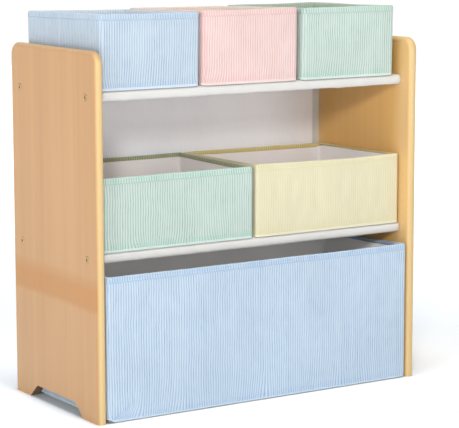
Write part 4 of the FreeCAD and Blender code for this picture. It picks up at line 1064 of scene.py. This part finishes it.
# bulge of the front, right, back and left walls; corner radius; rim heights at front left, front right,
# back right and back left; rim dips in the middle of front, right, back and left; depth of the turned-in
# hem on front, right, back and left; lean of the rim against the foot to the right and to the back, and how far it opens at front and back; how far the right wall is drawn in at
# front and back, and the left wall at front and back; lift of the foot at the corners. All in millimetres.
BINS = [
    ("top_left_bin", "blue", 101, (0.5, 0.2, 0.5, 0.6), 5.0, (1.2, -1.3, -6.0, -3.0), (0.3, 0.6, 0.2, 0.4), (10, 10, 10, 10), (0.0, 0.0, 2.8), (1.5, -0.2, 3.2, -1.4), 0.3),
    ("top_middle_bin", "pink", 202, (0.6, 0.3, 0.5, 0.2), 6.5, (1.5, 1.2, -5.6, -4.2), (0.5, 0.6, 0.2, 0.6), (10, 10, 10, 10), (-0.2, 0.0, 2.0), (-0.7, 0.3, 1.5, 0.2), 0.3),
    ("top_right_bin", "green", 303, (0.7, 0.8, 0.5, 0.4), 6.5, (0.1, -0.6, -4.2, -4.8), (0.3, 0.6, 0.2, 0.6), (10, 10, 10, 10), (0.6, 0.0, 2.0), (-2.6, -2.2, -0.6, 0.0), 0.3),
    ("middle_left_bin", "green", 404, (0.6, 0.5, 0.5, 0.4), 4.0, (-0.9, -0.3, -0.8, -0.4), (0.4, 0.9, 0.3, 0.4), (7.0, 6.5, 6.5, 6.5), (0.2, 0.0, 0.0), (1.2, -1.8, 0.0, 0.0), 0.3),
    ("middle_right_bin", "yellow", 505, (0.7, 0.3, 0.5, 0.5), 4.0, (2.2, 2.0, -3.3, -0.5), (2.0, 0.9, 0.3, 0.4), (7.0, 2.8, 6.5, 6.5), (-0.2, 0.0, 0.0), (-0.4, -0.4, -2.2, -1.6), 0.3),
    ("large_bin", "blue", 606, (0.6, 0.5, 0.6, 0.2), 4.5, (0.0, -0.4, -7.0, -3.0), (0.4, 2.4, 0.3, 0.3), (10, 5.5, 10, 10), (0.0, 0.0, 0.0), (0.0, 0.0, 0.0, 0.0), 1.2),
]
# how strongly hem, foot and corners are coloured, depth of the creases (mm), whether the piping stands
# clear of the floor, lift of the left wall's bottom edge (mm) and share of the rib height
HABIT = {
    "top_left_bin": ((0.34, 0.45, 0.08), 0.40, False, 0.0, 1.0),
    "top_middle_bin": ((0.32, 0.45, 0.70), 0.35, False, 0.0, 1.0),
    "top_right_bin": ((0.45, 0.50, 0.08), 0.50, False, 0.0, 1.0),
    "middle_left_bin": ((0.55, 0.60, 0.08), 0.35, False, 0.0, 1.0),
    "middle_right_bin": ((0.35, 0.30, 0.10), 0.45, False, 0.0, 0.45),
    "large_bin": ((0.72, 0.42, 0.08), 0.45, True, 4.0, 1.0),
}
for bin_name, colour, seed, bulge, corner, corners, dips, lips, tilt, pulls, drawn in BINS:
    soft = Soft(bin_name, corner, corners, dips, lips, tilt, pulls, drawn, *HABIT[bin_name])
    build_cover(bin_name, colour, seed, bulge, soft)
    build_boards(bin_name, soft)
    build_lining(bin_name, seed, soft)
    build_insert(bin_name, seed, soft)
    build_bottom(bin_name, seed, soft)


# =====================================================================
# shelf sleeves
# =====================================================================
def build_sleeve(shelf, seed):
    """White cloth tube pulled over the two rods, with its seam underneath."""
    node = shelf + "_sleeve"
    lo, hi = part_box(node)
    r = (hi.z - lo.z) / 2
    half = (hi.y - lo.y) / 2 - r
    zc = (hi.z + lo.z) / 2
    length = hi.x - lo.x
    # loop of places round the section: angle on the noses, run on the flats
    nose, flat = 22, 70
    loop = []

    def full(a):
        # a slightly fuller curve than a half circle
        return (abs(math.cos(a)) ** 2.35 + abs(math.sin(a)) ** 2.35) ** (-1 / 2.35)

    for i in range(nose):
        a = math.pi / 2 + math.pi * i / nose          # front nose, top to bottom
        loop.append((-half + full(a) * r * math.cos(a), full(a) * r * math.sin(a), math.cos(a), math.sin(a), "nose"))
    for i in range(flat):
        loop.append((-half + 2 * half * i / flat, -r, 0, -1, "low"))
    for i in range(nose):
        a = -math.pi / 2 + math.pi * i / nose
        loop.append((half + full(a) * r * math.cos(a), full(a) * r * math.sin(a), math.cos(a), math.sin(a), "nose"))
    for i in range(flat):
        loop.append((half - 2 * half * i / flat, r, 0, 1, "top"))
    ly, lz, my, mz = (np.array([p[k] for p in loop]) for k in range(4))
    kind = np.array([p[4] for p in loop])
    run = np.arange(len(loop)) * 0.0035
    steps = 190
    t = np.linspace(0, 1, steps)
    xs = lo.x + length * t
    wob = waves(seed, 9, 0.12, 0.02)
    pull = waves(seed + 7, 7, 0.06, 0.018)
    rows = []
    for x, tt in zip(xs, t):
        end = np.exp(-min(tt, 1 - tt) * length / 0.03)
        amp = np.where(kind == "low", 0.35, np.where(kind == "nose", 0.10, 0.04)) * MM
        lift = amp * (wob(np.full(len(loop), x), run) + 1.0) * (1 - end) + np.where(kind == "nose", 0.12, 0.02) * MM * end * np.clip(pull(run * 2, np.full(len(loop), x)), 0, 2)
        # seam ridge on the underside
        lift = lift + np.where(kind == "low", 0.5 * MM * bump_at(ly, 0.062, 0.006), 0)
        rows.append(np.stack([np.full(len(loop), x), ly + my * lift, zc + lz + mz * lift], 1))
    inner = []
    thick = 0.85 * MM
    for x, tt in zip(xs[::-1][[0, 47, 95, 142, 189]], (0, 0, 0, 0, 0)):
        inner.append(np.stack([np.full(len(loop), x), ly - my * thick, zc + lz - mz * thick], 1))
    v = np.concatenate(rows + inner)
    n_rows = len(rows) + len(inner)
    ob = make_mesh(shelf + "_sleeve_cloth", v, wrap_quads(n_rows, len(loop), True, True))
    give(ob, SLEEVE)
    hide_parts(node)
    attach(ob, "cabinet")
    # seam stitches below
    n = int(length / (3.8 * MM))
    x = lo.x + (np.arange(n) + 0.5) * length / n
    p = np.stack([x, np.full(n, 0.0585), np.full(n, zc - r - 0.75 * MM)], 1)
    v, q, tr = stitches("", p, np.tile([0, 0, -1.0], (n, 1)), np.tile([1.0, 0, 0], (n, 1)), 2.7 * MM, 0.22 * MM)
    st = make_mesh(shelf + "_sleeve_seam", v, q, None, tr)
    give(st, THREAD_GREY)
    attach(st, "cabinet")


for shelf, seed in (("top_shelf", 71), ("middle_shelf", 82)):
    build_sleeve(shelf, seed)
    give(NODES[shelf + "_insert_board"], FIBRE)
    give(NODES[shelf + "_front_rod"], ROD)
    give(NODES[shelf + "_rear_rod"], ROD)


# =====================================================================
# carried-over parts: finishes and softened edges
# =====================================================================
def soften(node, width, segments=3):
    mod = NODES[node].modifiers.new("edge", "BEVEL")
    mod.width = width
    mod.segments = segments
    mod.limit_method = "ANGLE"
    mod.angle_limit = math.radians(40)
    mod.harden_normals = False
    NODES[node].data.shade_smooth()


give(NODES["left_side_panel"], WOOD_L)
give(NODES["right_side_panel"], WOOD_R)
give(NODES["back_panel"], BACK)
give(NODES["back_post_left"], BATTEN)
give(NODES["back_post_right"], BATTEN)
give(NODES["post_dowels"], DOWEL)
give(NODES["rod_end_plugs"], PLUG)
give(NODES["assembly_bolts"], BOLT)
soften("back_panel", 0.5 * MM)
soften("back_post_left", 1.0 * MM)
soften("back_post_right", 1.0 * MM)
